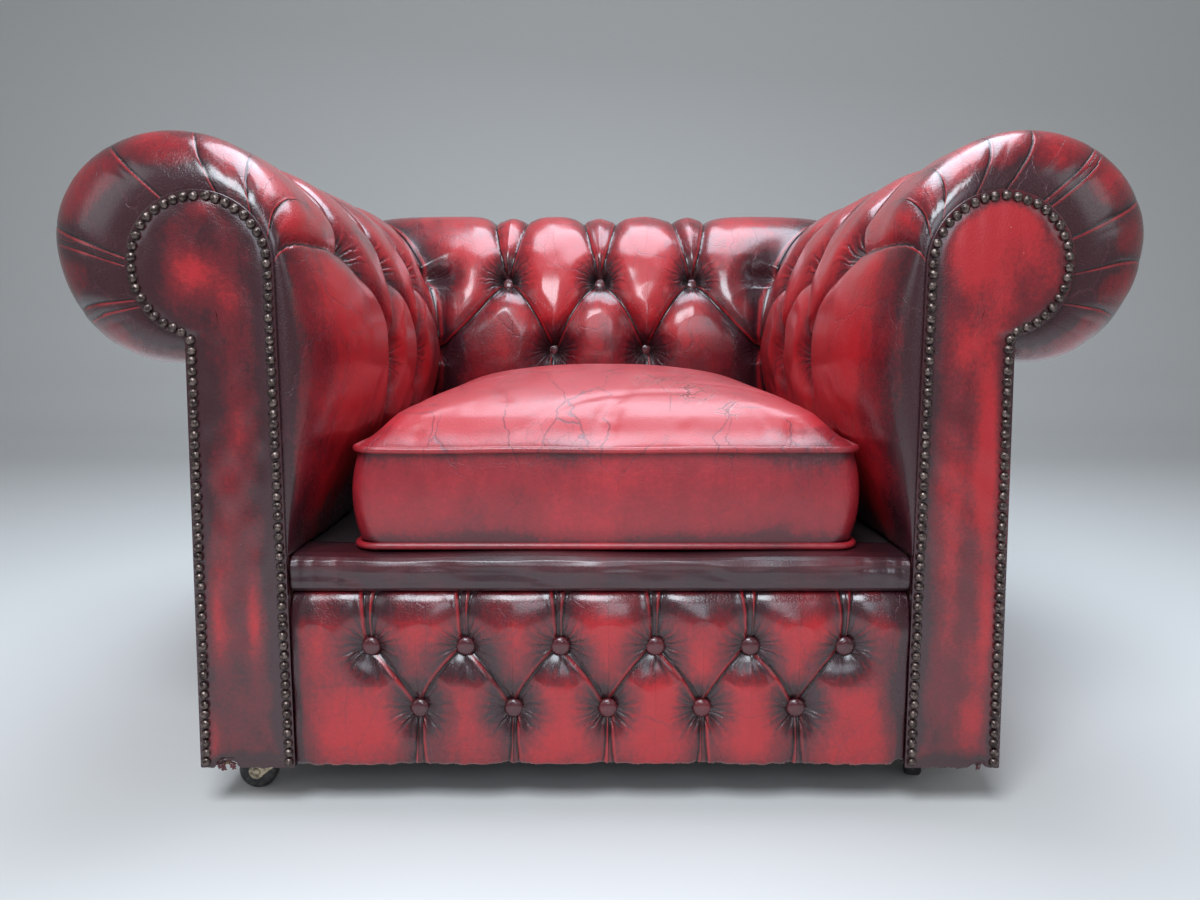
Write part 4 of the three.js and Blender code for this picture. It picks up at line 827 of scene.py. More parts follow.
back_upper = [-0.152, 0.0, 0.152]
back_lower = [-0.076, 0.076]
back_net = {
    "buttons": [(s, UPPER_V, 1.2) for s in back_upper] + [(-s, UPPER_V, 0.4) for s in (0.265, -0.265)]
               + [(s, 0.0, 1.0) for s in back_lower] + [(s, 0.0, 0.5) for s in (0.265, -0.265)],
    "pleats": [line for s in back_upper for line in flared(s)]
              + [(bowed((s, 0.0), (s + k * 0.076, UPPER_V), 0.04 * k), 1.0, 0.0)
                 for s in back_lower for k in (-1, 1)]
              + [(bowed((s, 0.0), (s, FOOT_V), 0.02), 0.9, 0.0) for s in back_lower]
              + [(bowed((k * 0.152, UPPER_V), (k * 0.265, 0.0), -0.04 * k), 1.0, 0.0) for k in (-1, 1)],
    "corner": 0.250,
}
turn_in = np.linspace(0, 1, 37)[1:]
back_s = np.linspace(-0.25, 0.25, 179)
back_columns = np.concatenate([np.stack([-0.25 - 0.015 * turn_in[::-1], -turn_in[::-1]], -1),
                               np.stack([back_s, np.zeros_like(back_s)], -1),
                               np.stack([0.25 + 0.015 * turn_in, turn_in], -1)])


points, faces, values = pad_mesh(back_columns, back_place, back_net, seed=37)
# Painted shade: the back is darker round its buttons and towards the cushion
painted_button_shade = np.exp(-(np.hypot(values["pucker"][:, 0], values["pucker"][:, 1]) / 0.042) ** 2)
values["wear_and_shade"] = values["wear_and_shade"] - 0.40 * (1 - smooth(points[:, 2], 0.43, 0.53)) - 0.35 * painted_button_shade
back = add_piece("back_upholstery", points, faces, pad_leather, values=values)
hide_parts("back_pad")
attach(back, "chair")
back_spots = [(s, UPPER_V) for s in back_upper] + [(s, 0.0) for s in back_lower]
points, faces, values = button_mesh(pad_button_places(back_spots, back_net, back_place), 0.011, 41)
back_buttons = add_piece("back_buttons", points, faces, button_leather, values=values)
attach(back_buttons, "chair")

# Facings
# A flat leather panel over a thin pad on the front of each scroll board, cut to the roll's shape.
# The feet are scuffed, with small strips torn loose.


def facing_outline(inset, foot, spacing):
    """Closed outline of the facing, inset by this much: up the inner line, round the head and the
    neck, down the outer line that flares 8 mm to the foot, and back, at an even spacing."""
    t = np.linspace(0, 1, 200)
    radius, neck = HEAD_R - inset, NECK_R + inset
    meet = math.atan2(NECK_Z - HEAD_Z, 0.027)
    head = math.pi + (meet - math.pi) * t
    bend = meet + math.pi - meet * t
    outer_foot = OUTER_X - inset + 0.008 * (NECK_Z - foot) / (NECK_Z - FOOT_Z)
    parts = np.concatenate([
        [(EDGE_X + inset, foot)],
        np.stack([HEAD_X + radius * np.cos(head), HEAD_Z + radius * np.sin(head)], -1),
        np.stack([NECK_X + neck * np.cos(bend), NECK_Z + neck * np.sin(bend)], -1),
        [(outer_foot, foot)], [(EDGE_X + inset, foot)]])
    run = run_length(parts)
    keep = np.concatenate([[True], np.diff(run) > 1e-9])
    parts, run = parts[keep], run[keep]
    at = np.linspace(0, run[-1], int(round(run[-1] / spacing)) + 1)[:-1]
    return np.stack([np.interp(at, run, parts[:, 0]), np.interp(at, run, parts[:, 1])], -1)


facing_leather = leather_finish("facing_leather", (0.042, 0.010, 0.014, 1.0), (0.13, 0.011, 0.016, 1.0),
                                (0.42, 0.013, 0.019, 1.0), roughness=0.36)
# Places rubbed red, as (x, z, half width, half height, amount), each arm's own
facing_rubs = {
    "left": [(0.386, 0.540, 0.024, 0.022, 0.75), (0.350, 0.512, 0.016, 0.026, 0.45),
             (0.373, 0.600, 0.016, 0.008, 0.55), (0.349, 0.400, 0.012, 0.080, 0.30),
             (0.341, 0.200, 0.008, 0.055, 0.60), (0.378, 0.205, 0.012, 0.050, 0.45),
             (0.389, 0.080, 0.007, 0.035, 0.50), (0.362, 0.300, 0.012, 0.050, 0.25)],
    "right": [(0.385, 0.592, 0.026, 0.020, 0.75), (0.352, 0.560, 0.020, 0.030, 0.70),
              (0.350, 0.470, 0.014, 0.040, 0.45), (0.374, 0.380, 0.012, 0.110, 0.75),
              (0.384, 0.210, 0.010, 0.080, 0.65), (0.345, 0.260, 0.010, 0.070, 0.40),
              (0.372, 0.090, 0.016, 0.030, 0.35)],
}
facing_loop = facing_outline(0.0, FOOT_Z, 0.0024)
facing_spine = np.array([(0.355, 0.098), (0.352, 0.43), (0.362, 0.50), (0.378, 0.546)])
best = np.full(len(facing_loop), 9.0)
facing_middle = np.zeros_like(facing_loop)
for a, b in zip(facing_spine[:-1], facing_spine[1:]):
    t = np.clip(((facing_loop - a) @ (b - a)) / ((b - a) @ (b - a)), 0, 1)
    near = a + (b - a) * t[:, None]
    away = np.hypot(*(facing_loop - near).T)
    facing_middle = np.where((away < best)[:, None], near, facing_middle)
    best = np.minimum(best, away)
for hand, side, seed in (("left", -1, 5), ("right", 1, 6)):
    # Rings from the outline in to the middle line of the panel, closer together at the edge
    share = np.linspace(0, 1, 26)[:, None] ** 1.3
    x = facing_loop[:, 0] + (facing_middle[:, 0] - facing_loop[:, 0]) * share
    z = facing_loop[:, 1] + (facing_middle[:, 1] - facing_loop[:, 1]) * share
    inside = np.hypot(x - facing_loop[:, 0], z - facing_loop[:, 1])
    crown = 0.0026 * (1 - np.exp(-np.maximum(inside - 0.009, 0) / 0.011))
    crown -= 0.0008 * np.exp(-((inside - 0.006) / 0.004) ** 2)
    y = FACING_Y - crown + 0.0006 * ripple(x * 2, z, seed) * smooth(inside, 0.008, 0.02)
    low = 1 - smooth(z, FOOT_Z, 0.062)
    tear = {"left": (0.3765, 0.011, 0.0055), "right": (0.3805, 0.008, 0.003)}[hand]
    rag = 0.0009 * ripple(x * 6, x * 2, seed + 1, 7, 10, 60)
    z = z + low * (rag + tear[2] * np.exp(-((x - tear[0]) / tear[1]) ** 4) * (1 + 0.3 * np.sin(x * 2600)))
    front = np.stack([side * x, y, z], -1)
    rims = [np.stack([side * x[0], np.full_like(x[0], FACING_Y + depth), z[0]], -1) for depth in (0.005, 0.0012)]
    rows = np.concatenate([rims, front])
    count = len(facing_loop)
    faces = grid_faces(len(rows), count, close_columns=True).tolist()
    faces.append(list(range(count - 1, -1, -1)))
    wear_and_shade = 0.24 + 0.27 * (side > 0) + sum(amount * np.exp(-((x - cx) / rx) ** 2 - ((z - cz) / rz) ** 2)
                                          for cx, cz, rx, rz, amount in facing_rubs[hand])
    wear_and_shade = wear_and_shade - 0.45 * (1 - smooth(inside, 0.006, 0.026))
    facing = add_piece(f"facing_panel_{hand}", rows, faces, facing_leather,
                       values=plain_values(np.concatenate([np.zeros((2, count)), wear_and_shade])))
    joined = bmesh.new()
    joined.from_mesh(facing.data)
    bmesh.ops.remove_doubles(joined, verts=joined.verts, dist=1e-5)
    bmesh.ops.dissolve_degenerate(joined, edges=joined.edges, dist=1e-6)
    joined.to_mesh(facing.data)
    joined.free()
    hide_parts(f"facing_{hand}")
    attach(facing, "chair")


# Below the pads the leather is turned back round the inner edge of the scroll board: one section,
# as X and depth behind the facing plane, drawn up in rows and never quite even
turned_section = np.array([(0.3205, 0.0200), (0.3084, 0.0200), (0.3084, 0.0078), (0.3087, 0.0064), (0.3096, 0.0056),
                           (0.3120, 0.0054), (0.3205, 0.0054)])
turned_rows, turned_points = 70, len(turned_section)
turned_z = np.linspace(0.048, 0.2638, turned_rows)
for hand, side in (("left", -1), ("right", 1)):
    uneven = 0.0004 * ripple(turned_z, turned_z * 0, 17 + side, 7, 6, 40)[:, None] + np.zeros(turned_points)
    points = np.stack([side * (turned_section[:, 0] + np.maximum(uneven, 0)),
                       FACING_Y + turned_section[:, 1] + np.abs(uneven),
                       np.broadcast_to(turned_z[:, None], uneven.shape)], -1)
    turned_back = add_piece(f"facing_return_{hand}", points, capped_faces(turned_rows, turned_points),
                            facing_leather, values=plain_values(np.full(uneven.shape, 0.1)))
    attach(turned_back, "chair")


def scrap(name, along, width, seed):
    """Torn strip: a path that hangs and curls, with a ragged edge and 1.2 mm of thickness."""
    t, u = np.linspace(0, 1, 26), np.linspace(-1, 1, 9)
    stops = np.linspace(0, 1, len(along))
    path_points = np.stack([np.interp(t, stops, [p[i] for p in along]) for i in range(3)], -1)
    rag = 1 - 0.55 * t ** 2 + 0.18 * ripple(t * 4, t, seed)
    curl = np.stack([np.outer(rag, u) * width / 2, 0.0006 * np.cos(u * 3) * np.ones((len(t), 1)),
                     0.0011 * np.outer(np.sin(t * 14), u)], -1)
    grid = path_points[:, None] + curl
    both = np.concatenate([grid, grid[:, ::-1] + np.array([0, 0.0012, 0])], 1)
    piece = add_piece(name, both, capped_faces(*both.shape[:2]), facing_leather,
                      values=plain_values(np.full(both.shape[:2], 0.25)))
    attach(piece, "chair")


scrap("torn_strip_left",
      [(-0.3835, -0.4535, 0.0520), (-0.3820, -0.4555, 0.0475), (-0.3795, -0.4550, 0.0440)], 0.008, 3)
scrap("torn_strip_left_small",
      [(-0.3720, -0.4530, 0.0520), (-0.3712, -0.4550, 0.0480), (-0.3700, -0.4545, 0.0450)], 0.006, 4)
scrap("torn_strip_right",
      [(0.3825, -0.4530, 0.0515), (0.3820, -0.4560, 0.0470), (0.3808, -0.4560, 0.0450)], 0.005, 8)

# Upholstery nails
# One row of domed heads in antiqued bronze, driven edge to edge through the facing's edge.

bronze, tree, shader, place = start_finish("antique_bronze", metallic=0.85, roughness=0.34)
tarnish = noise(tree, place, 260.0, 3.0)
shade = tint(tree, step_up(tree, tarnish, 0.35, 0.7), (0.045, 0.032, 0.030, 1.0), (0.22, 0.165, 0.145, 1.0))
tree.links.new(shade, shader.inputs["Base Color"])
tree.links.new(scaled(tree, tarnish, 0.25, 0.2), shader.inputs["Roughness"])
bumped(tree, shader, noise(tree, place, 700.0), 0.0003, 0.5)

for hand, side, seed in (("left", -1, 51), ("right", 1, 52)):
    maker = np.random.default_rng(seed)
    nail_line = facing_outline(0.006, 0.053, 0.0005)
    run = run_length(nail_line)
    foot_start = run[np.argmax((nail_line[:, 1] < 0.0532) & (run > 0.5))]
    count = int(round(foot_start / 0.0101))
    at = np.linspace(0, foot_start, count + 1) + maker.normal(0, 0.00025, count + 1)
    x = np.interp(at, run, nail_line[:, 0]) + maker.normal(0, 0.0003, count + 1)
    z = np.interp(at, run, nail_line[:, 1]) + maker.normal(0, 0.0003, count + 1)
    # Each head is five rings of twelve points, r = 4.7 mm * cos(t) and rise = 3.4 mm * sin(t)
    t = np.array([-0.3, 0.0, 0.32, 0.62, 0.86]) * math.pi / 2
    angle = np.arange(12) * math.pi / 6
    ring_r, ring_h = np.cos(t) * 0.0047, np.where(t < 0, -0.0016, 0.0034 * np.sin(t))
    lean = maker.normal(0, 0.06, (count + 1, 2))
    px, pz = ring_r[:, None] * np.cos(angle), ring_r[:, None] * np.sin(angle)
    rise = np.broadcast_to(ring_h[:, None], px.shape)
    points = np.stack([side * (x[:, None, None] + px), FACING_Y - 0.0004 - rise - lean[:, 0, None, None] * px
                       - lean[:, 1, None, None] * pz, z[:, None, None] + pz], -1)
    one = capped_faces(len(t), len(angle))
    faces = [[i + len(t) * len(angle) * n for i in f] for n in range(count + 1) for f in one]
    nails = add_piece(f"nails_{hand}", points, faces, bronze)
    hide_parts(f"nail_trim_{hand}")
    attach(nails, "chair")

# Outer panels
# Plain leather drawn flat over the outsides of the arms and the back, tucked under the roll and
# turned under the rails at the foot, with a corded welt down both rear corners.


def outer_edge(z):
    """Outer line of the chair at a height: 395 mm at the neck, 8 mm more at the foot."""
    return OUTER_X + 0.008 * (NECK_Z - z) / (NECK_Z - FOOT_Z)


def panel(name, node, corner, seed):
    """Two grids 5 mm apart, joined round the rim. corner(u, z, out) is the point at u across the
    panel, from 0 to 1, moved out by this much; the face has slow waves of about a millimetre."""
    across, rows = 120, 90
    u, z = np.meshgrid(np.linspace(0, 1, across), np.linspace(FOOT_Z, 0.4692, rows), indexing="ij")
    edge = smooth(u, 0, 0.02) * smooth(1 - u, 0, 0.02) * smooth(z, FOOT_Z, 0.055)
    wave = 0.0009 * ripple(u, z, seed, 7, 1.5, 6) * edge - 0.0016 * (1 - edge)
    outer, inner = corner(u, z, wave), corner(u, z, np.full_like(u, -0.005))
    # Darker round the rim, at the foot and at both ends, with painted shade along the top under the roll
    wear_and_shade = 0.62 - 0.45 * (1 - edge) - 0.25 * (1 - smooth(z, 0.05, 0.12)) - 0.25 * smooth(z, 0.40, 0.46)
    wear_and_shade -= 0.2 * (1 - smooth(u, 0, 0.08)) + 0.2 * smooth(u, 0.92, 1)
    piece = add_piece(name, [outer, inner], two_faced(across, rows), pad_leather,
                      values=plain_values(np.stack([wear_and_shade, np.zeros_like(wear_and_shade)])))
    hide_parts(node)
    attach(piece, "chair")


REAR_Y = FACING_Y + INNER_DEPTH - INNER_HALF
for hand, side, seed in (("left", -1, 61), ("right", 1, 62)):
    panel(f"outer_arm_panel_{hand}", f"outer_arm_{hand}", lambda u, z, out: np.stack([
        side * (outer_edge(z) + out), -0.4508 + (REAR_Y + outer_edge(z) + 0.4508) * u, z], -1), seed)
panel("outer_back_panel", "outer_back", lambda u, z, out: np.stack([
    (outer_edge(z) - 0.0053) * (2 * u - 1), REAR_Y + outer_edge(z) + out, z], -1), 63)


def tube(name, middle, radius, material, closed=False, sides=10):
    """Round cord along a path: at each point a ring across the path's direction."""
    middle = np.asarray(middle, float)
    if closed:
        along = np.roll(middle, -1, 0) - np.roll(middle, 1, 0)
    else:
        along = np.gradient(middle, axis=0)
    along /= np.linalg.norm(along, axis=1)[:, None]
    helper = np.where(np.abs(along[:, 2:3]) > 0.8, [[1.0, 0, 0]], [[0, 0, 1.0]])
    a = np.cross(along, helper)
    a /= np.linalg.norm(a, axis=1)[:, None]
    b = np.cross(along, a)
    angle = np.arange(sides) * 2 * math.pi / sides
    points = middle[:, None] + radius * (a[:, None] * np.cos(angle)[:, None] + b[:, None] * np.sin(angle)[:, None])
    faces = grid_faces(len(middle), sides, True, True) if closed else capped_faces(len(middle), sides)
    return add_piece(name, points, faces, material, values=plain_values(np.full(len(middle) * sides, 0.55)))


for hand, side in (("left", -1), ("right", 1)):
    z = np.linspace(0.048, 0.4685, 60)
    welt_line = np.stack([side * (outer_edge(z) - 0.0022), REAR_Y + outer_edge(z) - 0.0022, z], -1)
    welt = tube(f"rear_welt_{hand}", welt_line, 0.0034, pad_leather)
    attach(welt, "chair")

# Front border
# The padded rail between the facings: six buttons over five, with folded pleats from button to
# button and in pairs to the seams above and below.

RAIL_HALF, BORDER_TOP = 0.3077, 0.2257
BUTTON_PITCH, BUTTON_MIDDLE, UPPER_ROW, LOWER_ROW = 0.0956, 0.008, 0.169, 0.104
border_upper = [BUTTON_MIDDLE + BUTTON_PITCH * i for i in (-2.5, -1.5, -0.5, 0.5, 1.5, 2.5)]
border_lower = [BUTTON_MIDDLE + BUTTON_PITCH * i for i in (-2, -1, 0, 1, 2)]
border_pleats = []
for x in border_upper:
    for k in (-1, 1):
        path = bowed((x + k * 0.003, UPPER_ROW), (x + k * 0.0065, 0.226), 0.03 * k, 4)
        border_pleats.append((path, 0.85, 0.0))
for x in border_lower:
    for k in (-1, 1):
        path = bowed((x + k * 0.003, LOWER_ROW), (x + k * 0.0055, FOOT_Z), -0.03 * k, 4)
        border_pleats.append((path, 0.8, 0.0))
    for k in (-1, 1):
        path = bowed((x, LOWER_ROW), (x + k * BUTTON_PITCH / 2, UPPER_ROW), 0.07 * k, 6)
        border_pleats.append((path, 1.0, 0.0))
border_buttons = [(x, UPPER_ROW, 1.0) for x in border_upper] + [(x, LOWER_ROW, 1.0) for x in border_lower]


def border_depth(x, z):
    """As the pads' leather, with wells of 12 mm and pleats of 7 mm, and fuller crowns between."""
    depth, bell, signed, offset = tufted(x, z, border_buttons, border_pleats, 0.012, 0.025, 0.007, 0.012, 0.044)
    full = 0.0022 * np.exp(-((z - 0.186) / 0.020) ** 2) * np.cos((x - BUTTON_MIDDLE) * math.pi / BUTTON_PITCH) ** 2
    return depth - full, bell, signed, offset


border_x = np.linspace(-RAIL_HALF, RAIL_HALF, 430)
x, z = np.meshgrid(border_x, np.linspace(FOOT_Z, BORDER_TOP, 126), indexing="ij")
depth, bell, signed, offset = border_depth(x, z)
turned = 0.006 * (1 - np.sqrt(1 - (1 - np.clip((z - FOOT_Z) / 0.008, 0, 1)) ** 2))
turned += 0.005 * (1 - np.sqrt(1 - (1 - np.clip((BORDER_TOP - z) / 0.012, 0, 1)) ** 2))
turned += 0.010 * np.clip(1 - (BORDER_TOP - z) / 0.045, 0, 1) ** 2
ends = 0.003 * (1 - smooth(RAIL_HALF - np.abs(x), 0, 0.02))
uneven = 0.0008 * ripple(x, z, 71, 9, 6, 30)
y = FACING_Y + 0.003 + np.clip(depth + turned + ends + uneven - 0.001, -0.0015, 0.0165)
rag = 0.0011 * ripple(x * 5, x, 72, 7, 10, 50) * (1 - smooth(z, FOOT_Z, 0.06))
rag += 0.004 * np.exp(-((x - 0.303) / 0.006) ** 4) * (1 - smooth(z, FOOT_Z, 0.056))
front = np.stack([x, y, z + rag], -1)
blank = np.zeros((len(border_x), 2))
rear = np.stack([blank + border_x[:, None], blank + FACING_Y + 0.0217, blank + [BORDER_TOP, FOOT_Z]], -1)
ring = np.concatenate([front, rear], 1)
# Rubbed red on the crowns. Dark wax with painted shade in the folds and the wells; painted shade round the buttons,
# most of it below the upper ones, along the top under the lip, above the lower buttons, at the foot and at both
# ends beside the facings
painted_button_shade = np.exp(-(np.hypot(offset[..., 0], offset[..., 1] + 0.007 * (z > 0.130)) / 0.031) ** 2)
wear_and_shade = 1.02 - 0.50 * np.exp(-np.abs(signed) / 0.012) - 0.90 * np.maximum(bell, painted_button_shade)
wear_and_shade -= 0.55 * smooth(z, 0.188, 0.212)
wear_and_shade -= 0.8 * (1 - smooth(RAIL_HALF - np.abs(x), 0.0, 0.012))
wear_and_shade -= 0.30 * np.exp(-((z - 0.125) / 0.030) ** 2) * np.cos((x - BUTTON_MIDDLE) * math.pi / BUTTON_PITCH) ** 4
wear_and_shade -= 0.22 * (1 - smooth(z, 0.05, 0.080)) + 0.50 * (1 - smooth(RAIL_HALF - np.abs(x), 0.004, 0.035))
values = pad_values(wear_and_shade, signed, offset, blank)
border = add_piece("front_border_upholstery", ring, capped_faces(*ring.shape[:2]), pad_leather, values=values)
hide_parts("front_border")
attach(border, "chair")
spots = []
for bx, bz, _ in border_buttons:
    sunk = border_depth(np.array([[bx]]), np.array([[bz]]))[0][0, 0]
    spots.append(([bx, FACING_Y + 0.003 + min(sunk, 0.0165) - 0.0035, bz], [0.0, -1.0, 0.0]))
points, faces, values = button_mesh(spots, 0.010, 73)
border_studs = add_piece("front_border_buttons", points, faces, button_leather, values=values)
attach(border_studs, "chair")

# Seat lip
# A plain stuffed roll along the front edge of the seat, in the darkest leather, with slack
# creases along it and a tuck at each end.

lip_leather = leather_finish("lip_leather", (0.034, 0.010, 0.014, 1.0), (0.068, 0.012, 0.017, 1.0),
                             (0.15, 0.014, 0.020, 1.0), roughness=0.42, worn_bias=-0.06, coat_roughness=0.28)
lip_profile = np.array([(1, 0), (0.12, 0.02), (0.05, 0.12), (0.015, 0.3), (0, 0.55), (0.02, 0.72), (0.06, 0.85),
                        (0.14, 0.95), (0.30, 1.0), (1, 1)])
run = run_length(lip_profile * [0.068, 0.038])
at = np.concatenate([np.linspace(0, run[1], 6, endpoint=False), np.linspace(run[1], run[-2], 56, endpoint=False),
                     np.linspace(run[-2], run[-1], 10)])
profile_u, profile_w = np.interp(at, run, lip_profile[:, 0]), np.interp(at, run, lip_profile[:, 1])
lip_x = np.linspace(-RAIL_HALF, RAIL_HALF, 460)
x, u = np.meshgrid(lip_x, profile_u, indexing="ij")
w = np.broadcast_to(profile_w, x.shape)
fullness = np.exp(-((w - 0.5) / 0.42) ** 4) * (u < 0.5)
sag = 0.0022 * (1 - np.cos(x * 2 * math.pi / 0.103)) / 2 + 0.0012 * ripple(x, w * 0.04, 81, 9, 6, 24)
line = 0.5 + 0.16 * np.sin(x * 31) + 0.10 * np.sin(x * 67 + 1)
sag = sag + 0.0020 * np.exp(-((w - line) / 0.17) ** 2) * (0.4 + 0.6 * np.sin(x * 17) ** 2)
tucks = sum(0.0016 * np.exp(-((np.abs(x) - p) / 0.005) ** 2) for p in (0.262, 0.285, 0.300))
y = FACING_Y + 0.006 + u * 0.068 + (sag + tucks * (0.4 + w)) * fullness
z = 0.226 + w * 0.038 - 0.0012 * (1 + np.sin(x * 23)) * smooth(w, 0.8, 1.0) * (u > 0.05)
points = np.stack([x, y, z], -1)
# Redder along the top shoulder, with painted shade at both ends, where the lip runs in under the arms
wear_and_shade = (0.30 + 0.35 * np.exp(-((w - 0.78) / 0.2) ** 2) - 0.3 * smooth(np.abs(x), 0.25, 0.30))
lip = add_piece("seat_lip_roll", points, capped_faces(*x.shape), lip_leather, values=plain_values(wear_and_shade))
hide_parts("seat_lip")
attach(lip, "chair")

# Seat cushion
# A loose boxed cushion of foam and feather in brighter leather, crowned, with a corded seam at
# the top and the bottom of its box. Its top is creased, cracked and peeling in two places.

CUSHION_X, CUSHION_Y = 0.006, FACING_Y + 0.030 + 0.299
CUSHION_HALF_X, CUSHION_HALF_Y, CORNER = 0.2585, 0.299, 0.024
SEAM_LOW, SEAM_HIGH = 0.2679, 0.3663
# The cloth may move a point this far, and the foot rests on the deck at this height
CLOTH_CAP, DECK_TOP = 0.007, 0.2646


def rounded_loop(straight, radius, count):
    """Closed loop of count points round a rectangle whose corners are arcs about its inner corners."""
    angle = np.linspace(0, 2 * math.pi, count + 1)[:-1]
    arc = np.stack([np.cos(angle), np.sin(angle)], -1)
    return np.sign(arc) * straight + radius * arc


def cushion_case():
    """Loops of a rounded rectangle, inset and raised along the cushion's side: a flat foot, a box
    that swells by a few millimetres, and a crown that rises as a sine towards the middle."""
    loops = []
    levels = [(0.20, 0.2660), (0.10, 0.2650), (0.03, 0.2650), (0.010, 0.2664), (0.004, SEAM_LOW),
              (0.003, 0.2800), (0.001, 0.3050), (0.000, 0.3170), (0.001, 0.3400), (0.003, 0.3560),
              (0.005, SEAM_HIGH), (0.014, 0.3760)]
    rise = 0.431 - 0.376
    for t in np.linspace(0.08, 1, 14):
        levels.append((0.014 + (0.215 - 0.014) * t, 0.376 + rise * math.sin(t * math.pi / 2) ** 0.62))
    for inset, z in levels:
        half = np.array([CUSHION_HALF_X - 0.004 - inset, CUSHION_HALF_Y - 0.004 - inset])
        radius = min(CORNER + 0.55 * inset, 0.97 * half[0])
        points = rounded_loop(half - radius, radius, 160) + [CUSHION_X, CUSHION_Y]
        loops.append(np.concatenate([points, np.full((160, 1), z)], -1))
    return np.concatenate(loops), capped_faces(len(loops), 160)


points, faces = cushion_case()
case = add_piece("seat_cushion_leather", points, faces)
remesh = case.modifiers.new("remesh", "REMESH")
remesh.mode = "VOXEL"
remesh.voxel_size = 0.0062
even = bpy.data.meshes.new_from_object(case.evaluated_get(bpy.context.evaluated_depsgraph_get()))
case.modifiers.clear()
case.data = even
rest = np.zeros(len(even.vertices) * 3, np.float32)
even.vertices.foreach_get("co", rest)
rest = rest.reshape(-1, 3).astype(float)
swollen = rest.copy()
cloth = case.modifiers.new("cloth", "CLOTH")
cloth.settings.quality = 4
cloth.settings.mass = 0.25
cloth.settings.tension_stiffness = 25
cloth.settings.compression_stiffness = 25
cloth.settings.bending_stiffness = 2.0
cloth.settings.use_pressure = True
cloth.settings.uniform_pressure_force = 4.0
cloth.settings.effector_weights.gravity = 0.0
cloth.point_cache.frame_end = 20
for frame_number in range(1, 21):
    bpy.context.scene.frame_set(frame_number)
held = case.evaluated_get(bpy.context.evaluated_depsgraph_get())
after = np.zeros(len(rest) * 3, np.float32)
held.data.vertices.foreach_get("co", after)
move = after.reshape(-1, 3) - rest
size = np.linalg.norm(move, axis=1)[:, None]
swollen = rest + move * np.minimum(1.0, CLOTH_CAP / np.maximum(size, 1e-9))
case.modifiers.remove(cloth)
bpy.context.scene.frame_set(1)
# The foot lies flat on the deck, the box stands out by a few millimetres between its seams, and
# the leather is drawn in to the cords
swollen[:, 2] = np.maximum(swollen[:, 2], DECK_TOP)
half = np.array([CUSHION_HALF_X - 0.0036, CUSHION_HALF_Y - 0.0036])
flat = swollen[:, :2] - [CUSHION_X, CUSHION_Y]
outside = np.abs(flat) - (half - CORNER)
run_in = np.linalg.norm(np.maximum(outside, 0), axis=1) + np.minimum(outside.max(1), 0) - CORNER
way = np.where(outside.min(1)[:, None] > 0, np.maximum(outside, 0),
               np.where(outside[:, :1] > outside[:, 1:], [[1.0, 0.0]], [[0.0, 1.0]]))
way = np.sign(flat) * way / np.maximum(np.linalg.norm(way, axis=1)[:, None], 1e-9)
box_height = np.clip((swollen[:, 2] - SEAM_LOW) / (SEAM_HIGH - SEAM_LOW), 0, 1)
box_out = (0.0040 + 0.0065 * np.abs(way[:, 0])) * np.sin(math.pi * box_height) ** 0.8 - 0.0015
on_box = (box_height > 0) & (box_height < 1) & (run_in > -0.034)
swollen[:, :2] -= way * ((run_in - box_out) * 0.85 * on_box)[:, None]
run_in = np.where(on_box, box_out + 0.15 * (run_in - box_out), run_in)
for seam_z in (SEAM_LOW, SEAM_HIGH):
    off_z = swollen[:, 2] - seam_z
    pull = (np.exp(-(off_z / 0.009) ** 2) * smooth(run_in, -0.034, -0.014))[:, None]
    swollen[:, :2] -= way * (run_in[:, None] + 0.0010) * pull
    swollen[:, 2] -= off_z * pull[:, 0] * 0.35
# Long slack creases across the crown
for a, b, deep in (
    ((-0.20, -0.33), (-0.02, -0.18), 1.8), ((-0.16, -0.20), (0.06, -0.12), 1.4),
    ((0.02, -0.36), (0.16, -0.20), 1.6), ((-0.08, -0.40), (0.10, -0.34), 1.5),
    ((0.10, -0.30), (0.21, -0.33), 1.4), ((-0.22, -0.25), (-0.10, -0.36), 1.3),
    ((0.00, -0.26), (0.18, -0.10), 1.2), ((-0.10, -0.10), (0.12, -0.02), 1.2),
):
    near = np.full(len(swollen), 9.0)
    for x1, y1, x2, y2 in bowed(a, b, 0.12, 6):
        from_start, way_along = swollen[:, :2] - [x1, y1], np.array([x2 - x1, y2 - y1])
        t = np.clip(from_start @ way_along / (way_along @ way_along), 0, 1)
        near = np.minimum(near, np.linalg.norm(from_start - t[:, None] * way_along, axis=1))
    swollen[:, 2] -= deep / 1000 * np.exp(-(near / 0.006) ** 2) * (swollen[:, 2] > 0.375)
even.vertices.foreach_set("co", swollen.astype(np.float32).ravel())
rise = swollen[:, 2]
# Darker over the box below the crown's edge; painted shade in the leather drawn in along both seams, at the foot on
# the deck and just under the top seam
seam_off = np.minimum(np.hypot(run_in, rise - SEAM_LOW), np.hypot(run_in, rise - SEAM_HIGH))
seam_shade = np.exp(-(seam_off / 0.010) ** 2)
corner_dark = smooth(np.linalg.norm(np.maximum(np.abs(flat) - [0.19, 0.24], 0), axis=1), 0.01, 0.06)
wear_and_shade = 1.0 - 0.35 * seam_shade - 0.50 * corner_dark * (rise < SEAM_HIGH + 0.02)
wear_and_shade -= 0.30 * (1 - smooth(rise, 0.268, 0.295)) + 0.15 * smooth(rise, 0.335, 0.355) * (rise < SEAM_HIGH)
set_values(even, {"wear_and_shade": wear_and_shade, "pleat": np.full(len(wear_and_shade), 0.06)})
even.polygons.foreach_set("use_smooth", np.ones(len(even.polygons), bool))
finer = case.modifiers.new("finer", "SUBSURF")
finer.levels = finer.render_levels = 1
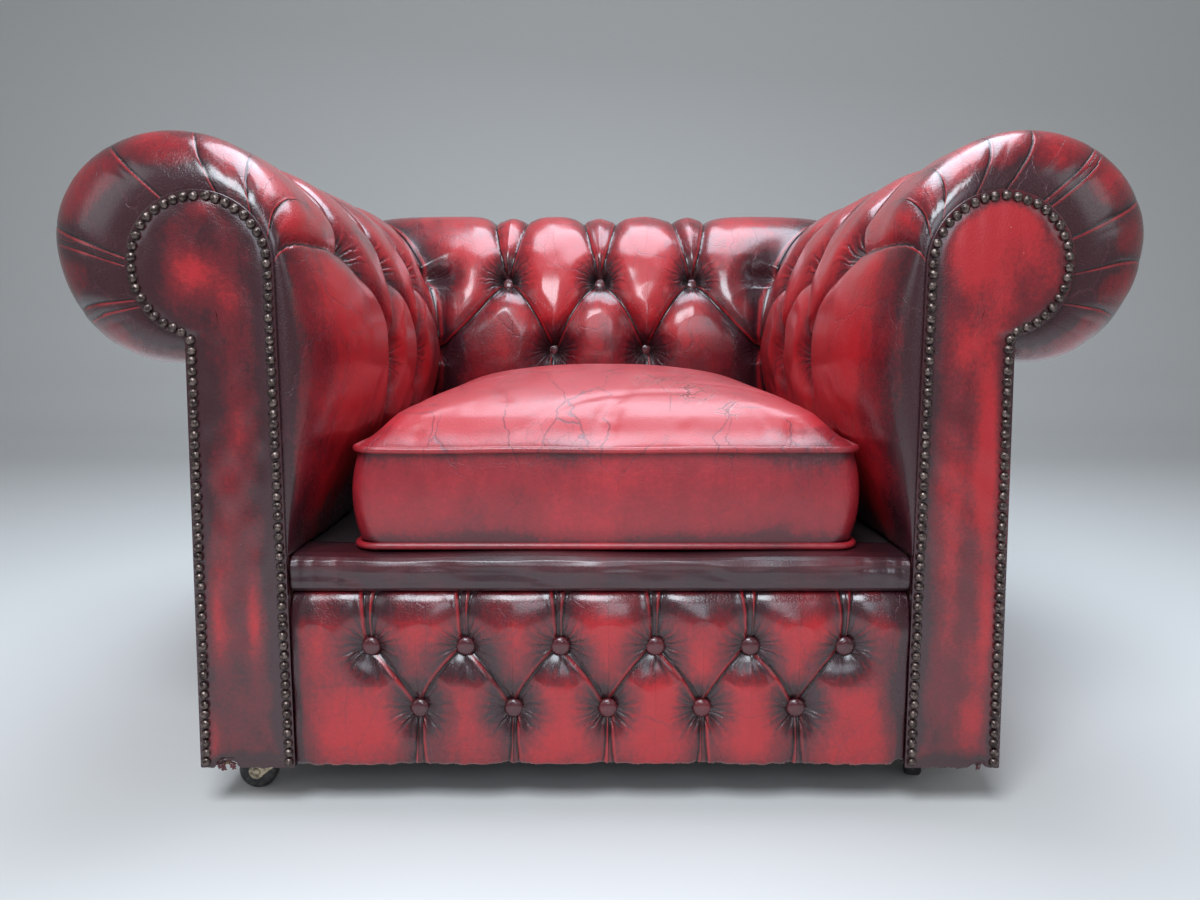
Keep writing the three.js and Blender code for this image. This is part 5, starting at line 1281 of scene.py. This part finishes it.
cushion_leather = leather_finish(
    "cushion_leather", (0.09, 0.010, 0.016, 1.0), (0.27, 0.012, 0.020, 1.0), (0.48, 0.018, 0.028, 1.0),
    roughness=0.40, crackle=1.0, crackle_z=0.37, coat_roughness=0.33, worn_bias=0.05,
    patches=(((0.100, -0.330, 0.410), 0.030, (0.8, 0.6, 0.5)), ((0.058, -0.290, 0.418), 0.026, (0.7, 0.6, 0.5)),
             ((0.135, -0.375, 0.400), 0.018, (0.8, 0.8, 0.5))))
even.materials.clear()
even.materials.append(cushion_leather)
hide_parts("seat_cushion")
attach(case, "chair")

for cord_name, node, z in (("cushion_cord_top", "cushion_piping_top", SEAM_HIGH),
                           ("cushion_cord_bottom", "cushion_piping_bottom", SEAM_LOW)):
    path_points = rounded_loop(half + 0.0006 - CORNER, CORNER, 2000)
    closed_path = np.concatenate([path_points, path_points[:1]])
    run = run_length(closed_path)
    at = np.linspace(0, run[-1], 521)[:-1]
    x, y = np.interp(at, run, closed_path[:, 0]), np.interp(at, run, closed_path[:, 1])
    wander = 0.0008 * ripple(at, at * 0, 91, 7, 2, 9)
    cord_line = np.stack([x + CUSHION_X, y + CUSHION_Y, z + wander * (z > 0.3)], -1)
    cord = tube(cord_name, cord_line, 0.0036, cushion_leather, closed=True, sides=12)
    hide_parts(node)
    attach(cord, "chair")

# Castors
# Pressed plated plates screwed under the frame, each with a kingpin, a raked fork that swivels
# on it, and a black moulded wheel on a riveted axle.


def revolved(profile, sides, closed=False):
    """Surface of revolution about Z of (r, z) pairs; a closed profile makes a ring, an open one
    is closed by flat ends."""
    profile = np.array(profile, float)
    angle = np.arange(sides) * 2 * math.pi / sides
    points = np.stack([profile[:, :1] * np.cos(angle), profile[:, :1] * np.sin(angle),
                       np.broadcast_to(profile[:, 1:], (len(profile), sides))], -1).reshape(-1, 3)
    if closed:
        return points, grid_faces(len(profile), sides, True, True).tolist()
    return points, capped_faces(len(profile), sides)


def slab(outline, low, high, bevel):
    """Plate of an outline in X and Y between two heights, its edges broken by a small bevel."""
    outline = np.asarray(outline, float)
    along = np.roll(outline, -1, 0) - np.roll(outline, 1, 0)
    inwards = np.stack([-along[:, 1], along[:, 0]], -1) / np.linalg.norm(along, axis=1)[:, None]
    area = np.sum(outline[:, 0] * np.roll(outline[:, 1], -1) - np.roll(outline[:, 0], -1) * outline[:, 1])
    inner = outline + inwards * bevel * np.sign(area)
    rings = [(inner, low), (outline, low + bevel), (outline, high - bevel), (inner, high)]
    points = np.concatenate([np.concatenate([ring, np.full((len(ring), 1), z)], 1) for ring, z in rings])
    return points, capped_faces(4, len(outline))


def gathered(parts):
    """Several closed shells as one mesh."""
    points, faces, start = [], [], 0
    for shell_points, shell_faces in parts:
        points.append(shell_points)
        faces += [[i + start for i in f] for f in shell_faces]
        start += len(shell_points)
    return np.concatenate(points), faces


plated, tree, shader, place = start_finish("yellow_plating", metallic=1.0, roughness=0.36)
dull = noise(tree, place, 130.0, 5.0, 0.65)
shade = tint(tree, step_up(tree, dull, 0.4, 0.62), (0.50, 0.42, 0.30, 1.0), (0.22, 0.185, 0.15, 1.0))
shade = tint(tree, step_up(tree, noise(tree, place, 420.0, 4.0), 0.6, 0.7), shade, (0.10, 0.055, 0.03, 1.0))
tree.links.new(shade, shader.inputs["Base Color"])
tree.links.new(scaled(tree, dull, 0.4, 0.2), shader.inputs["Roughness"])
bumped(tree, shader, dull, 0.0002, 0.6)

black_wheel, tree, shader, place = start_finish("black_wheel", roughness=0.42)
dust = step_up(tree, noise(tree, place, 170.0, 5.0, 0.7), 0.42, 0.72)
shade = tint(tree, times(tree, dust, 0.5), (0.012, 0.012, 0.013, 1.0), (0.17, 0.155, 0.14, 1.0))
tree.links.new(shade, shader.inputs["Base Color"])
tree.links.new(scaled(tree, dust, 0.35, 0.33), shader.inputs["Roughness"])
bumped(tree, shader, noise(tree, place, 500.0), 0.0003, 0.5)

corner_angle = np.linspace(0, 2 * math.pi, 41)[:-1]
plate_outline = (np.stack([np.sign(np.cos(corner_angle)), np.sign(np.sin(corner_angle))], -1) * 0.015
                 + 0.005 * np.stack([np.cos(corner_angle), np.sin(corner_angle)], -1))
plate_parts = [slab(plate_outline, 0.0441, 0.0465, 0.0006),
               revolved([(0.0002, 0.0351), (0.0040, 0.0353), (0.0062, 0.0359), (0.0065, 0.0367), (0.0045, 0.0367),
                         (0.0045, 0.0451), (0.0002, 0.0451)], 24)]
for sx in (-1, 1):
    for sy in (-1, 1):
        screw_points, screw_faces = revolved(
            [(0.0002, 0.0429), (0.0018, 0.0431), (0.0031, 0.0438), (0.0033, 0.0444), (0.0002, 0.0444)], 16)
        plate_parts.append((screw_points + [0.0142 * sx, 0.0142 * sy, 0], screw_faces))
# The fork's leg: a raked plate whose lower end is round about the axle
AXLE_X, AXLE_Z = 0.027, 0.020
leg_angle = np.radians(np.linspace(207, 405, 26))
leg_eye = np.stack([AXLE_X + 0.008 * np.cos(leg_angle), AXLE_Z + 0.008 * np.sin(leg_angle)], -1)
leg_outline = np.concatenate([
    [(-0.0084, 0.037), (-0.0084, 0.0404), (-0.0076, 0.0428), (-0.0060, 0.0438), (0.0100, 0.0438), (0.0126, 0.0428)],
    leg_eye[::-1], [(0.0198, 0.0164), (0.0105, 0.0232), (-0.0020, 0.0323)]])
fork_parts = [revolved([(0.0056, 0.0370), (0.0105, 0.0371), (0.0132, 0.0378), (0.0140, 0.0392), (0.0140, 0.0416),
                        (0.0132, 0.0430), (0.0110, 0.0438), (0.0056, 0.0438)], 40, closed=True)]
for low, high in ((-0.0120, -0.0098), (0.0098, 0.0120)):
    leg_points, leg_faces = slab(leg_outline, low, high, 0.0005)
    fork_parts.append((np.stack([leg_points[:, 0], leg_points[:, 2], leg_points[:, 1]], -1), leg_faces))
# Half of the wheel's and of the axle's profile, from the middle out; the other half is its mirror
wheel_half = [(0.0200, 0.0016), (0.0199, 0.0048), (0.0192, 0.0070), (0.0176, 0.0083), (0.0152, 0.0085),
              (0.0140, 0.0078), (0.0120, 0.0070), (0.0074, 0.0074), (0.0066, 0.0088), (0.0058, 0.0095),
              (0.0029, 0.0095)]
axle_half = [(0.0026, 0.0122), (0.0044, 0.0123), (0.0036, 0.0131), (0.0020, 0.0136), (0.0002, 0.0137)]
wheel_parts = [revolved([(r, -z) for r, z in wheel_half[::-1]] + wheel_half, 64, closed=True)]
axle_parts = [revolved([(r, -z) for r, z in axle_half[::-1]] + axle_half, 28)]


def lay_down(parts):
    """Turns an upright revolved part so that its axis runs along Y, at the wheel's centre."""
    points, faces = gathered(parts)
    return np.stack([points[:, 0] + AXLE_X, points[:, 2], points[:, 1] + AXLE_Z], -1), faces


for corner, x, y, turn in (("front_left", -0.338, -0.3991, 180), ("front_right", 0.338, -0.3991, 78),
                           ("back_left", -0.338, 0.2589, 118), ("back_right", 0.338, 0.2589, 62)):
    a = math.radians(turn)
    swing = np.array([[math.cos(a), math.sin(a), 0], [-math.sin(a), math.cos(a), 0], [0, 0, 1]])
    for part_name, (points, faces), swivels, body, material, slot in (
        ("plate", gathered(plate_parts), False, "chair", plated, "castor_metal"),
        ("fork", gathered(fork_parts), True, "fork_" + corner, plated, "castor_metal"),
        ("wheel", lay_down(wheel_parts), True, "wheel_" + corner, black_wheel, "wheel_rubber"),
        ("axle", lay_down(axle_parts), True, "fork_" + corner, plated, "castor_metal"),
    ):
        if swivels:
            points = points @ swing
        piece = add_piece(f"castor_{part_name}_detail_{corner}", points + [x, y, 0], faces, material)
        piece.data.set_sharp_from_angle(angle=math.radians(38))
        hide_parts(f"castor_{part_name}_{corner}")
        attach(piece, body)
